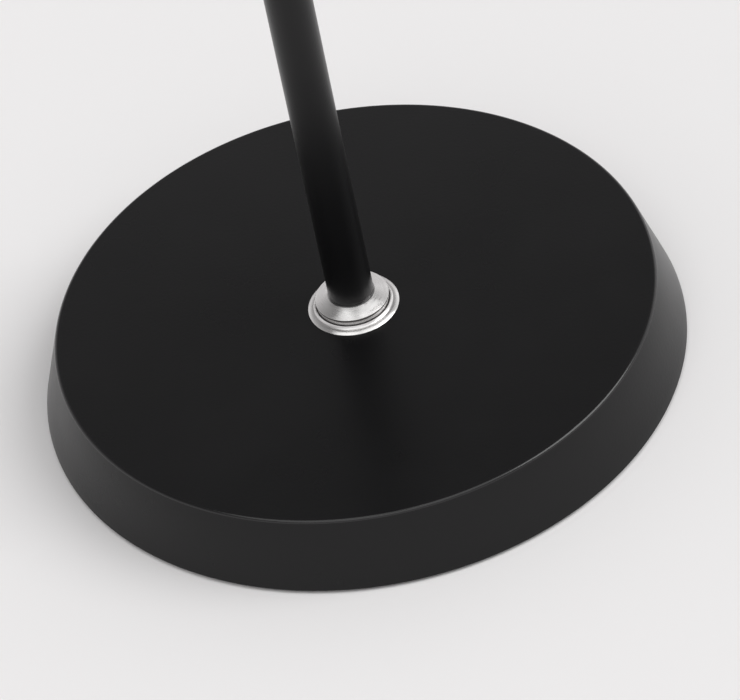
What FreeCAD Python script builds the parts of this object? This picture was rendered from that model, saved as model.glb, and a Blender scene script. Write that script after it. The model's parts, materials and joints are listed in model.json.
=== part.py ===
import FreeCAD, Part
import math
import os
import re
import Sketcher

# Gooseneck reading floor lamp.
# Millimetres, +Z up. The origin is on the floor under the centre of the base, and -Y is the front,
# where the neck arches over. Each sub-part is turned or built in its own place and then set on the
# stand, on the neck's line or on the head's line by its Placement.

SIZES = (
    # Base
    ("base_radius", 135.0, "outer radius of the base at its lower edge"),
    ("base_corner_radius", 125.6, "radius where the side of the base would meet its flat top"),
    ("shell_height", 30.4, "height of the base shell"),
    ("base_edge_round", 1.5, "rounding of the top edge of the base"),
    ("shell_wall", 1.2, "sheet steel of the base shell"),
    ("pad_reveal", 1.2, "gap between the floor and the lower edge of the shell"),
    ("pad_thickness", 2.5, "thickness of the soft ring under the base"),
    ("pad_width", 12.0, "width of the soft ring"),
    ("pad_inset", 6.0, "from the shell's lower edge in to the soft ring"),
    ("plate_thickness", 1.2, "sheet steel cover under the base"),
    ("plate_gap", 0.6, "clearance of the cover inside the shell"),
    ("cut_margin", 1.0, "how far a drilled hole is started outside its piece"),
    ("weight_gap", 0.8, "clearance of the cast weight inside the shell's side"),
    ("weight_thickness", 14.0, "thickness of the cast weight"),
    ("weight_recess_radius", 20.0, "radius of the recess for the clamp nut"),
    ("weight_recess_depth", 6.0, "depth of the recess for the clamp nut"),
    ("weight_hole_radius", 5.6, "hole of the weight for the clamp stud"),
    ("boss_radius", 6.5, "radius of the bosses that carry the cover"),
    ("boss_circle", 85.0, "radius of the circle of bosses"),
    ("boss_count", 3.0, "number of bosses"),
    ("boss_sink", 1.0, "how far the bosses run on into the weight"),
    ("screw_radius", 2.0, "shank radius of the cover screws"),
    ("screw_length", 9.0, "shank length of the cover screws"),
    ("screw_head_radius", 4.0, "head radius of the cover screws"),
    ("screw_head_height", 1.7, "head height of the cover screws"),
    ("screw_gap", 0.1, "clearance round the screw shanks"),
    # Cord inlet in the back of the base
    ("inlet_rise", 0.8, "height of the cord inlet over the middle of the hollow under the weight"),
    ("inlet_bore", 3.7, "bore radius of the grommet, for a cord of 7 mm"),
    ("inlet_neck", 4.9, "radius of the grommet where it passes the shell"),
    ("inlet_flange", 7.0, "radius of the grommet's outer flange"),
    ("inlet_lip", 0.7, "how far the grommet's inner flange stands past the shell's hole"),
    ("inlet_flange_thickness", 1.8, "thickness of the grommet's flanges"),
    ("inlet_flange_edge", 0.6, "thickness of the outer flange at its edge"),
    ("inlet_gap", 0.25, "clearance between the grommet's flanges and the shell"),
    ("inlet_hole_gap", 0.1, "clearance of the grommet in the shell's hole"),
    ("inlet_cut", 5.0, "how far the inlet's hole is cut each way from the shell's outer face"),
    # Clamp stud, nut and washers
    ("stud_radius", 4.95, "outer radius of the hollow threaded studs"),
    ("stud_bore", 3.5, "bore radius of the hollow threaded studs"),
    ("thread_gap", 0.05, "clearance between a stud and its threaded hole"),
    ("stud_hole_gap", 0.25, "clearance of a stud in a plain hole"),
    ("stud_reach", 13.0, "how far a stud screws into what it holds"),
    ("stud_tail", 1.0, "stud left showing past its nut"),
    ("stud_end_gap", 1.0, "thread left free past the end of a neck stud"),
    ("clamp_washer_radius", 16.0, "radius of the clamp washer"),
    ("clamp_washer_thickness", 2.0, "thickness of the clamp washer"),
    ("lock_washer_radius", 8.6, "radius of the lock washer"),
    ("lock_washer_thickness", 1.5, "thickness of the lock washer"),
    ("nut_width", 16.0, "width across flats of the stud nuts"),
    ("clamp_nut_height", 5.0, "height of the clamp nut"),
    # Bright collar on the base
    ("flange_radius", 19.0, "radius of the dished flange"),
    ("flange_rim", 0.6, "thickness of the flange at its rim"),
    ("flange_height", 2.0, "height of the flange under the ring"),
    ("flange_round", 0.4, "rounding of the flange's rim"),
    ("collar_radius", 15.4, "radius of the collar ring"),
    ("collar_wall_height", 3.0, "height of the collar ring's upright side"),
    ("collar_cone_height", 2.1, "height of the coned top of the collar ring"),
    ("collar_lip_radius", 9.9, "radius where the coned top ends at the pole"),
    ("collar_edge", 0.35, "bevel of the collar ring's outer edge"),
    # Pole
    ("pole_radius", 9.5, "outer radius of the pole tubes"),
    ("pole_wall", 1.2, "wall of the pole tubes"),
    ("tube_length", 372.0, "length of each of the pole tubes"),
    ("tube_bevel", 0.4, "bevel of the tube ends"),
    ("bush_shoulder_radius", 9.1, "radius of the shoulder of the bushes in the pole's ends"),
    ("bush_shoulder", 0.8, "thickness of that shoulder"),
    ("bush_length", 16.0, "length of a bush inside its tube"),
    ("bush_gap", 0.05, "clearance between a bush or coupling and its tube"),
    ("coupling_length", 60.0, "length of the couplings inside the pole"),
    ("coupling_wall", 2.2, "wall of the couplings"),
    ("cap_radius", 10.4, "radius of the bright cap on the pole"),
    ("cap_band", 6.0, "height of the cap's straight part"),
    ("cap_cone", 8.0, "height of the cap's coned part"),
    ("cap_bevel", 0.6, "bevel of the cap's edges"),
    # Neck
    ("ferrule_radius", 8.2, "radius of the bright ferrules at the ends of the neck"),
    ("ferrule_length", 22.0, "length of the ferrules"),
    ("ferrule_taper", 4.0, "length of the taper from a ferrule to the neck"),
    ("ferrule_bevel", 0.5, "bevel at the plain end of a ferrule"),
    ("link_count", 11.0, "links between the two ferrules"),
    ("link_pitch", 34.0, "from one bending point of the neck to the next"),
    ("rib_count", 8.0, "ribs on each link"),
    ("neck_radius", 6.75, "outer radius of the neck over its ribs"),
    ("rib_height", 0.65, "height of the ribs"),
    ("neck_bore", 2.5, "bore radius of the neck"),
    ("ball_radius", 4.9, "radius of the ball on the upper end of a link"),
    ("ball_gap", 0.3, "clearance between a ball and its socket"),
    ("ball_top", 3.0, "from the ball's centre up to its flat end"),
    ("ball_stem", 3.2, "radius of the stem that carries the ball"),
    ("skirt_depth", 2.0, "how far a socket reaches below the ball's centre"),
    ("shoulder_drop", 4.7, "from the ball's centre down to its shoulder"),
    ("lower_bend", 12.0, "degrees of bend at rest at each hinge of the lower third"),
    ("middle_bend", 17.0, "degrees of bend at rest at each hinge of the middle third"),
    ("upper_bend", 15.0, "degrees of bend at rest at each hinge of the upper third"),
    ("lean_bend", 6.0, "degrees of bend at rest at each sideways hinge"),
    # Lampholder and its cover
    ("cup_radius", 22.0, "radius of the lampholder's steel cover"),
    ("cup_wall", 0.8, "sheet of the cover"),
    ("cup_length", 57.0, "length of the cover"),
    ("cup_round", 8.0, "rounding of the cover's closed end"),
    ("vent_radius", 2.2, "radius of the cooling holes in the cover"),
    ("vent_height", 14.0, "from the cover's closed end to the cooling holes"),
    ("vent_count", 8.0, "number of cooling holes"),
    ("holder_radius", 18.5, "radius of the lampholder"),
    ("holder_wall", 3.5, "wall of the lampholder's upper chamber"),
    ("holder_cap_length", 19.0, "length of the lampholder's cap"),
    ("holder_cap_end", 3.0, "thickness of the cap's end"),
    ("holder_bore", 16.2, "bore radius of the lampholder's lower part"),
    ("holder_flange_radius", 20.8, "radius of the flange that bears on the shade"),
    ("holder_flange", 3.0, "thickness of that flange"),
    ("holder_skirt_radius", 19.6, "radius of the threaded skirt that passes the shade"),
    ("holder_skirt", 16.0, "length of the threaded skirt"),
    ("head_nut_height", 3.5, "height of the nut inside the lampholder's cap"),
    ("insulator_gap", 0.1, "clearance of the insulator in the lampholder"),
    ("insulator_depth", 12.0, "from the insulator's outer face to the shade's seat"),
    ("insulator_thickness", 7.0, "thickness of the insulator"),
    ("screw_shell_bore", 13.5, "bore radius of the screw shell"),
    ("screw_shell_wall", 0.5, "brass sheet of the screw shell"),
    ("screw_shell_length", 24.0, "length of the screw shell"),
    ("screw_shell_hole", 4.5, "radius of the hole in the screw shell's bottom"),
    ("contact_radius", 3.0, "radius of the centre contact"),
    ("contact_height", 2.2, "height of the centre contact"),
    ("contact_tip_radius", 1.5, "radius of the centre contact's flat tip"),
    ("contact_cone", 1.1, "height of the centre contact's coned tip"),
    ("terminal_count", 2.0, "number of terminal screws"),
    ("terminal_offset", 10.0, "from the lampholder's axis to each terminal screw"),
    ("terminal_radius", 1.5, "shank radius of the terminal screws"),
    ("terminal_depth", 5.0, "shank length of the terminal screws"),
    ("terminal_head_radius", 2.6, "head radius of the terminal screws"),
    ("terminal_head", 2.0, "head height of the terminal screws"),
    # Switch in the side of the lampholder
    ("switch_height", 28.0, "from the cover's closed end to the switch's axis"),
    ("switch_width", 24.0, "length of the switch body along its shaft"),
    ("switch_depth", 16.0, "width of the switch body across its shaft"),
    ("switch_thickness", 13.0, "height of the switch body"),
    ("shaft_radius", 2.0, "radius of the switch shaft"),
    ("shaft_gap", 0.05, "running clearance of the switch shaft"),
    ("shaft_inside", 5.0, "length of the shaft inside the switch body"),
    ("shaft_end_gap", 1.0, "room past the shaft's inner end"),
    ("switch_bush_radius", 3.5, "radius of the switch's threaded bush"),
    ("switch_bush_gap", 0.2, "clearance of that bush in its holes"),
    ("switch_nut_width", 10.0, "width across flats of the switch nut"),
    ("switch_nut_height", 2.2, "height of the switch nut"),
    ("switch_nut_gap", 0.05, "from the cover to the switch nut"),
    ("switch_bush_tail", 0.8, "bush left showing past its nut"),
    ("knob_gap", 0.8, "from the bush to the knob"),
    ("knob_radius", 8.5, "radius of the switch knob"),
    ("knob_length", 14.0, "length of the switch knob"),
    ("knob_bore_depth", 10.0, "depth of the knob's bore"),
    ("knob_round", 1.2, "rounding of the knob's outer edge"),
    ("flute_radius", 1.2, "radius of the knob's flutes"),
    ("flute_offset", 0.6, "how far outside the knob's side a flute's axis lies"),
    ("flute_start", 2.4, "from the knob's inner end to its flutes"),
    ("flute_count", 14.0, "number of flutes"),
    # Shade
    ("shade_mouth_radius", 72.0, "outer radius of the shade at its mouth"),
    ("shade_shoulder_radius", 25.9, "radius of the shade's flat top, where its curved side starts"),
    ("shade_side", 94.6, "height of the curved side"),
    ("shade_lip", 10.0, "length of the straight part at the mouth"),
    ("shade_bead", 1.6, "radius of the rolled edge"),
    ("shade_wall", 0.8, "spun sheet of the shade"),
    ("shade_hole_gap", 0.3, "clearance of the shade's hole round the skirt"),
    ("shade_shoulder_round", 2.5, "rounding of the shade's shoulder"),
    ("ring_radius", 24.5, "radius of the ring that holds the shade"),
    ("ring_flange", 2.0, "thickness of that ring's flange"),
    ("ring_height", 7.0, "height of that ring"),
    ("ring_wall", 2.4, "wall of that ring"),
    # Bulb
    ("bulb_tip_height", 1.2, "height of the bulb's end contact"),
    ("bulb_cap_radius", 13.0, "crest radius of the bulb's screw cap"),
    ("bulb_thread_depth", 0.9, "depth of the cap's thread"),
    ("bulb_thread_pitch", 3.6, "pitch of the cap's thread"),
    ("bulb_thread_count", 5.0, "turns of the cap's thread"),
    ("bulb_cap_cone", 3.6, "height of the cap's coned end"),
    ("bulb_collar", 2.6, "plain part of the cap over its thread"),
    ("bulb_housing_length", 30.0, "length of the bulb's white housing"),
    ("bulb_housing_radius", 27.0, "radius of the housing where the globe starts"),
    ("bulb_housing_wall", 1.6, "wall of the housing"),
    ("bulb_housing_curve", 90.0, "radius of the housing's curved side"),
    ("bulb_radius", 30.0, "radius of the bulb's globe"),
    ("bulb_globe_rise", 22.0, "from the housing to the globe's widest circle"),
    ("bulb_globe_curve", 60.0, "radius of the globe's side below its widest circle"),
    ("bulb_globe_wall", 1.5, "wall of the globe"),
)

SIZE_NAMES = {name for name, number, meaning in SIZES}

TUBE_NAMES = ("pole_lower", "pole_middle", "pole_upper")
COUPLING_NAMES = ("coupling_lower", "coupling_upper")
HEXAGON_SIDES = 6
EDGE_TOLERANCE = 0.01


# Derived places, as expressions of the sizes

STEEPNESS = "((base_radius - base_corner_radius) / shell_height)"
SIDE_FACTOR = f"sqrt(1 + {STEEPNESS} ^ 2)"
SHELL_TOP = "(pad_reveal + shell_height)"
SHELL_UNDERSIDE = f"({SHELL_TOP} - shell_wall)"
WEIGHT_BOTTOM = f"({SHELL_UNDERSIDE} - weight_thickness)"
RECESS_TOP = f"({WEIGHT_BOTTOM} + weight_recess_depth)"
LOCK_WASHER_TOP = f"({RECESS_TOP} - clamp_washer_thickness)"
CLAMP_NUT_TOP = f"({LOCK_WASHER_TOP} - lock_washer_thickness)"
PLATE_TOP = "(pad_thickness + plate_thickness)"
RING_BASE = f"({SHELL_TOP} + flange_height)"
RING_SIDE_TOP = f"({RING_BASE} + collar_wall_height)"
RING_TOP = f"({RING_SIDE_TOP} + collar_cone_height)"
POLE_FOOT = f"({RING_TOP} + bush_shoulder)"
POLE_TOP = f"({POLE_FOOT} + {len(TUBE_NAMES)} * tube_length)"
CAP_BASE = f"({POLE_TOP} + bush_shoulder)"
CAP_TOP = f"({CAP_BASE} + cap_band + cap_cone)"
FERRULE_TOP = f"({CAP_TOP} + ferrule_length)"
FIRST_HINGE = f"({FERRULE_TOP} + shoulder_drop)"

THREAD_RADIUS = "(stud_radius + thread_gap)"
PLAIN_HOLE = "(stud_radius + stud_hole_gap)"
TUBE_BORE = "(pole_radius - pole_wall)"
NECK_VALLEY = "(neck_radius - rib_height)"
SOCKET_RADIUS = "(ball_radius + ball_gap)"

# The head's own axis runs from the neck's last bending point out through the shade's mouth.
HOLDER_TOP = "(ferrule_length + cup_wall)"
HOLDER_CHAMBER = f"({HOLDER_TOP} + holder_cap_length)"
SHADE_SEAT = "(ferrule_length + cup_length)"
INSULATOR_FACE = f"({SHADE_SEAT} - insulator_depth)"
INSULATOR_BACK = f"({INSULATOR_FACE} - insulator_thickness)"
CONTACT_TOP = f"({INSULATOR_FACE} + contact_height)"
CAP_END = f"({CONTACT_TOP} + bulb_tip_height)"
THREAD_START = f"({CAP_END} + bulb_cap_cone)"
HOUSING_START = f"({THREAD_START} + bulb_thread_count * bulb_thread_pitch + bulb_collar)"
GLOBE_START = f"({HOUSING_START} + bulb_housing_length)"
SWITCH_AXIS = "(ferrule_length + switch_height)"
CHAMBER_RADIUS = "(holder_radius - holder_wall)"
SHADE_RIM = f"({SHADE_SEAT} + shade_side)"
SHADE_MOUTH = f"({SHADE_RIM} + shade_lip)"

# The switch's own axis runs out sideways from the middle of the lampholder.
BUSH_START = "(switch_width / 2)"
SWITCH_NUT_START = "(cup_radius + switch_nut_gap)"
BUSH_END = f"({SWITCH_NUT_START} + switch_nut_height + switch_bush_tail)"
KNOB_START = f"({BUSH_END} + knob_gap)"

UPRIGHT = FreeCAD.Vector(0, 0, 1)
SIDEWAYS = FreeCAD.Vector(1, 0, 0)

document = FreeCAD.newDocument("GooseneckLamp")
sheet = document.addObject("Spreadsheet::Sheet", "Sizes")
for row, (size_name, size_number, size_meaning) in enumerate(SIZES, start=1):
    sheet.set(f"A{row}", size_meaning)
    sheet.set(f"B{row}", str(size_number))
    sheet.setAlias(f"B{row}", size_name)
document.recompute()

sub_parts = []


# Values and expressions

def value(expression):
    """Work out an expression of the sheet's sizes."""
    return float(sheet.evalExpression(str(expression)))


def bound(expression):
    """Write an expression with the sheet's name before each size in it."""
    def with_sheet(match):
        word = match.group(0)
        return f"Sizes.{word}" if word in SIZE_NAMES else word
    return re.sub(r"[a-z_][a-z_0-9]*", with_sheet, str(expression))


def drive(target, setting, expression):
    """Tie one setting of an object to the sheet."""
    target.setExpression(setting, bound(expression))


# Outlines

def line_to(radius, height):
    """A straight stretch of an outline, to this point."""
    return (radius, height, None, 0)


def arc_to(radius, height, bend, turn):
    """A round stretch to this point; turn is 1 anticlockwise and -1 clockwise."""
    return (radius, height, bend, turn)


def arc_between(start, end, bend, turn):
    """The shorter arc from start to end, as a sketch keeps it: anticlockwise."""
    chord = end - start
    left = FreeCAD.Vector(-chord.y, chord.x, 0).normalize()
    reach = math.sqrt(max(bend ** 2 - chord.Length ** 2 / 4, 0))
    centre = (start + end) * 0.5 + left * (turn * reach)
    first, last = (start, end) if turn > 0 else (end, start)
    first_angle = math.atan2(first.y - centre.y, first.x - centre.x)
    last_angle = math.atan2(last.y - centre.y, last.x - centre.x)
    if last_angle <= first_angle:
        last_angle += 2 * math.pi
    circle = Part.Circle(centre, UPRIGHT, bend)
    return Part.ArcOfCircle(circle, first_angle, last_angle)


def plane_of(body, role):
    """One of a body's own origin planes or axes."""
    return next(item for item in body.Origin.OriginFeatures if item.Role == role)


def draw_outline(sketch, steps):
    """Draw a closed outline and tie each corner and bend radius to the sheet."""
    corners = [FreeCAD.Vector(value(step[0]), value(step[1]), 0) for step in steps]
    edges = []
    for number, step in enumerate(steps):
        start, end = corners[number - 1], corners[number]
        if step[2] is None:
            edges.append(Part.LineSegment(start, end))
        else:
            edges.append(arc_between(start, end, value(step[2]), step[3]))
    sketch.addGeometry(edges, False)
    rules = []
    driven = []
    for number, step in enumerate(steps):
        following = (number + 1) % len(steps)
        end_mark = 1 if step[3] < 0 else 2
        start_mark = 2 if steps[following][3] < 0 else 1
        rules.append(Sketcher.Constraint("Coincident", number, end_mark, following, start_mark))
        driven.append(None)
        across = Sketcher.Constraint("DistanceX", -1, 1, number, end_mark, corners[number].x)
        upward = Sketcher.Constraint("DistanceY", -1, 1, number, end_mark, corners[number].y)
        rules += [across, upward]
        driven += [step[0], step[1]]
        if step[2] is not None:
            rules.append(Sketcher.Constraint("Radius", number, value(step[2])))
            driven.append(step[2])
    sketch.addConstraint(rules)
    for number, expression in enumerate(driven):
        if isinstance(expression, str):
            drive(sketch, f"Constraints[{number}]", expression)


# Sub-parts and their features

def sub_part(kind, name, placement=None):
    """Start a sub-part: its label is the name of its node."""
    item = document.addObject(kind, name)
    item.Label = name
    if placement is not None:
        item.Placement = placement
    sub_parts.append(item)
    return item


def turned(name, steps, placement=None):
    """A body turned round its own Z axis from one closed outline of (radius, height)."""
    body = sub_part("PartDesign::Body", name, placement)
    sketch = body.newObject("Sketcher::SketchObject", name + "_outline")
    sketch.AttachmentSupport = [(plane_of(body, "XZ_Plane"), "")]
    sketch.MapMode = "FlatFace"
    draw_outline(sketch, steps)
    turn = body.newObject("PartDesign::Revolution", name + "_turn")
    turn.Profile = sketch
    turn.ReferenceAxis = (sketch, ["V_Axis"])
    turn.Angle = 360
    sketch.Visibility = False
    document.recompute()
    return body


def round_edges(body, label, size, circles):
    """Round the circular edges at the given (radius, height) places of a turned body."""
    base = body.Tip
    wanted = [(value(radius), value(height)) for radius, height in circles]
    names = []
    for number, edge in enumerate(base.Shape.Edges, start=1):
        if not isinstance(edge.Curve, Part.Circle):
            continue
        place = (edge.Curve.Radius, edge.Curve.Center.z)
        if any(math.dist(place, spot) < EDGE_TOLERANCE for spot in wanted):
            names.append(f"Edge{number}")
    if len(names) < len(circles):
        raise RuntimeError(f"{body.Label}: an edge to round wasn't found")
    fillet = body.newObject("PartDesign::Fillet", body.Label + "_" + label)
    fillet.Base = (base, names)
    drive(fillet, "Radius", size)
    document.recompute()


def peg(body, kind, label, radius, length, offset):
    """Add (Additive) or cut (Subtractive) a cylinder along the Z axis of the given offset."""
    before = body.Shape.Volume
    cylinder = body.newObject(f"PartDesign::{kind}Cylinder", body.Label + "_" + label)
    cylinder.AttachmentSupport = [(plane_of(body, "XY_Plane"), "")]
    cylinder.MapMode = "FlatFace"
    cylinder.AttachmentOffset = offset
    drive(cylinder, "Radius", radius)
    drive(cylinder, "Height", length)
    document.recompute()
    change = body.Shape.Volume - before
    if (change > 0) != (kind == "Additive"):
        raise RuntimeError(f"{body.Label}: {label} missed the solid")
    return cylinder


def ring_pattern(body, label, features, count):
    """Repeat features evenly round the body's Z axis."""
    pattern = body.newObject("PartDesign::PolarPattern", body.Label + "_" + label)
    pattern.Originals = features
    pattern.Axis = (plane_of(body, "Z_Axis"), [""])
    pattern.Angle = 360
    drive(pattern, "Occurrences", count)
    body.Tip = pattern
    document.recompute()


def at(x, y, z):
    """A placement that only moves."""
    return FreeCAD.Placement(FreeCAD.Vector(x, y, z), FreeCAD.Rotation())


def facing(x, y, z, direction):
    """A placement whose Z axis points along a direction."""
    return FreeCAD.Placement(FreeCAD.Vector(x, y, z), FreeCAD.Rotation(UPRIGHT, direction))


def cylinder_solid(name, radius, height, base):
    """A plain cylinder for a boolean, standing at the given height."""
    solid = document.addObject("Part::Cylinder", name)
    drive(solid, "Radius", radius)
    drive(solid, "Height", height)
    drive(solid, "Placement.Base.z", base)
    return solid


def hex_nut(name, width, height, base, hole, placement=None):
    """A hexagon nut standing at the given height of its own axis."""
    prism = document.addObject("Part::Prism", name + "_hexagon")
    prism.Polygon = HEXAGON_SIDES
    drive(prism, "Circumradius", f"{width} / 2 / cos({180 / HEXAGON_SIDES})")
    drive(prism, "Height", height)
    drive(prism, "Placement.Base.z", base)
    bore = cylinder_solid(name + "_hole", hole, height, base)
    nut = sub_part("Part::Cut", name)
    nut.Base = prism
    nut.Tool = bore
    if placement is not None:
        nut.Placement = placement
    document.recompute()


def screw_set(name, shank, length, head, head_height, seat, inward, spots, placement=None):
    """A group of like screws. Heads stand on the seat, shanks run inward (1 up, -1 down)."""
    screws = []
    for number, (across, along) in enumerate(spots, start=1):
        shank_base = seat if inward > 0 else f"{seat} - {length}"
        head_base = f"{seat} - {head_height}" if inward > 0 else seat
        stem = cylinder_solid(f"{name}_shank_{number}", shank, length, shank_base)
        top = cylinder_solid(f"{name}_head_{number}", head, head_height, head_base)
        screw = document.addObject("Part::MultiFuse", f"{name}_{number}")
        screw.Shapes = [stem, top]
        screw.Refine = True
        drive(screw, "Placement.Base.x", across)
        drive(screw, "Placement.Base.y", along)
        screws.append(screw)
    group = sub_part("Part::Compound", name)
    group.Links = screws
    if placement is not None:
        group.Placement = placement
    document.recompute()


# Where things are on the base

def side_radius(height):
    """Outer radius of the base shell's side at a height."""
    return f"(base_radius - ({height} - pad_reveal) * {STEEPNESS})"


def inner_radius(height):
    """Inner radius of the base shell's side at a height."""
    return f"({side_radius(height)} - shell_wall * {SIDE_FACTOR})"


def weight_radius(height):
    """Outer radius of the weight at a height."""
    return f"({inner_radius(height)} - weight_gap * {SIDE_FACTOR})"


def inlet_placement():
    """The cord inlet: on the outer face of the shell's side at the back, square to it."""
    slope = math.atan(value(STEEPNESS))
    outward = FreeCAD.Vector(0, math.cos(slope), math.sin(slope))
    height = value(f"({PLATE_TOP} + {WEIGHT_BOTTOM}) / 2 + inlet_rise")
    return facing(0, value(side_radius(height)), height, outward)


def boss_angle(number):
    """Degrees round from +X of one of the cover's bosses; the first lies at the front."""
    return 270 + 360 * number / round(value("boss_count"))


def make_base():
    """Shell, cast weight, cover, soft ring and cord grommet."""
    edge = "pad_reveal"
    shell = turned("base_shell", [
        line_to(side_radius(edge), edge),
        line_to("base_corner_radius", SHELL_TOP),
        line_to(PLAIN_HOLE, SHELL_TOP),
        line_to(PLAIN_HOLE, SHELL_UNDERSIDE),
        line_to(inner_radius(SHELL_UNDERSIDE), SHELL_UNDERSIDE),
        line_to(inner_radius(edge), edge),
    ])
    round_edges(shell, "top_edge", "base_edge_round", [("base_corner_radius", SHELL_TOP)])
    inner_corner = [(inner_radius(SHELL_UNDERSIDE), SHELL_UNDERSIDE)]
    round_edges(shell, "inner_edge", "base_edge_round - shell_wall", inner_corner)
    inlet = inlet_placement()
    hole_start = inlet * at(0, 0, -value("inlet_cut"))
    peg(shell, "Subtractive", "inlet_hole", "inlet_neck + inlet_hole_gap", "2 * inlet_cut", hole_start)

    grommet_inside = "(2 * inlet_flange_thickness + shell_wall + 2 * inlet_gap)"
    inner_face = "(inlet_flange_thickness + shell_wall + 2 * inlet_gap)"
    inner_flange = "(inlet_neck + inlet_lip)"
    turned("cord_grommet", [
        line_to("inlet_bore", 0),
        line_to(inner_flange, 0),
        line_to(inner_flange, "inlet_flange_thickness"),
        line_to("inlet_neck", "inlet_flange_thickness"),
        line_to("inlet_neck", inner_face),
        line_to("inlet_flange", inner_face),
        line_to("inlet_flange", f"{inner_face} + inlet_flange_edge"),
        line_to("inlet_neck", grommet_inside),
        line_to("inlet_bore", grommet_inside),
    ], inlet * at(0, 0, value(f"inlet_gap - {inner_face}")))

    bevel_start = f"({SHELL_UNDERSIDE} - base_edge_round)"
    weight = turned("base_weight", [
        line_to(weight_radius(WEIGHT_BOTTOM), WEIGHT_BOTTOM),
        line_to(weight_radius(bevel_start), bevel_start),
        line_to(f"{weight_radius(SHELL_UNDERSIDE)} - base_edge_round", SHELL_UNDERSIDE),
        line_to("weight_hole_radius", SHELL_UNDERSIDE),
        line_to("weight_hole_radius", RECESS_TOP),
        line_to("weight_recess_radius", RECESS_TOP),
        line_to("weight_recess_radius", WEIGHT_BOTTOM),
    ])
    angle = math.radians(boss_angle(0))
    boss_x = value("boss_circle") * math.cos(angle)
    boss_y = value("boss_circle") * math.sin(angle)
    boss_height = f"{WEIGHT_BOTTOM} - {PLATE_TOP} + boss_sink"
    foot = at(boss_x, boss_y, value(PLATE_TOP))
    boss = peg(weight, "Additive", "boss", "boss_radius", boss_height, foot)
    hole_depth = "screw_length - plate_thickness + screw_gap"
    hole = peg(weight, "Subtractive", "screw_hole", "screw_radius + screw_gap", hole_depth, foot)
    ring_pattern(weight, "bosses", [boss, hole], "boss_count")

    plate_radius = f"({inner_radius('pad_thickness')} - plate_gap)"
    plate = turned("base_plate", [
        line_to(0, "pad_thickness"),
        line_to(plate_radius, "pad_thickness"),
        line_to(plate_radius, PLATE_TOP),
        line_to(0, PLATE_TOP),
    ])
    under = at(boss_x, boss_y, value("pad_thickness - cut_margin"))
    plate_hole = peg(plate, "Subtractive", "screw_hole", "screw_radius + screw_gap",
                     "plate_thickness + 2 * cut_margin", under)
    ring_pattern(plate, "screw_holes", [plate_hole], "boss_count")

    pad_outside = "(base_radius - pad_inset)"
    turned("base_pad", [
        line_to(f"{pad_outside} - pad_width", 0),
        line_to(pad_outside, 0),
        line_to(pad_outside, "pad_thickness"),
        line_to(f"{pad_outside} - pad_width", "pad_thickness"),
    ])

    spots = []
    for number in range(round(value("boss_count"))):
        turn = boss_angle(number)
        spots.append((f"boss_circle * cos({turn})", f"boss_circle * sin({turn})"))
    screw_set("plate_screws", "screw_radius", "screw_length", "screw_head_radius",
              "screw_head_height", "pad_thickness", 1, spots)


def make_clamp():
    """The hollow stud that holds shell, weight, collar and pole together, with nut and washers."""
    stud_bottom = f"({CLAMP_NUT_TOP} - clamp_nut_height - stud_tail)"
    stud_top = f"({POLE_FOOT} - bush_shoulder + stud_reach)"
    tube("base_stud", "stud_radius", "stud_bore", stud_bottom, stud_top)
    tube("clamp_washer", "clamp_washer_radius", PLAIN_HOLE, LOCK_WASHER_TOP, RECESS_TOP)
    tube("lock_washer", "lock_washer_radius", PLAIN_HOLE, CLAMP_NUT_TOP, LOCK_WASHER_TOP)
    nut_base = f"{CLAMP_NUT_TOP} - clamp_nut_height"
    hex_nut("clamp_nut", "nut_width", "clamp_nut_height", nut_base, THREAD_RADIUS)


def tube(name, outside, bore, bottom, top, placement=None):
    """A plain tube or washer."""
    return turned(name, [
        line_to(bore, bottom),
        line_to(outside, bottom),
        line_to(outside, top),
        line_to(bore, top),
    ], placement)


def make_collar():
    """The bright flange and the ring with a coned top, on the base."""
    flange = turned("collar_flange", [
        line_to(PLAIN_HOLE, SHELL_TOP),
        line_to("flange_radius", SHELL_TOP),
        line_to("flange_radius", f"{SHELL_TOP} + flange_rim"),
        line_to("collar_radius", RING_BASE),
        line_to(PLAIN_HOLE, RING_BASE),
    ])
    rim = [("flange_radius", f"{SHELL_TOP} + flange_rim")]
    round_edges(flange, "rim", "flange_round", rim)
    turned("collar_ring", [
        line_to(PLAIN_HOLE, RING_BASE),
        line_to("collar_radius", RING_BASE),
        line_to("collar_radius", f"{RING_SIDE_TOP} - collar_edge"),
        line_to("collar_radius - collar_edge", RING_SIDE_TOP),
        line_to("collar_lip_radius", RING_TOP),
        line_to(PLAIN_HOLE, RING_TOP),
    ])


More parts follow.
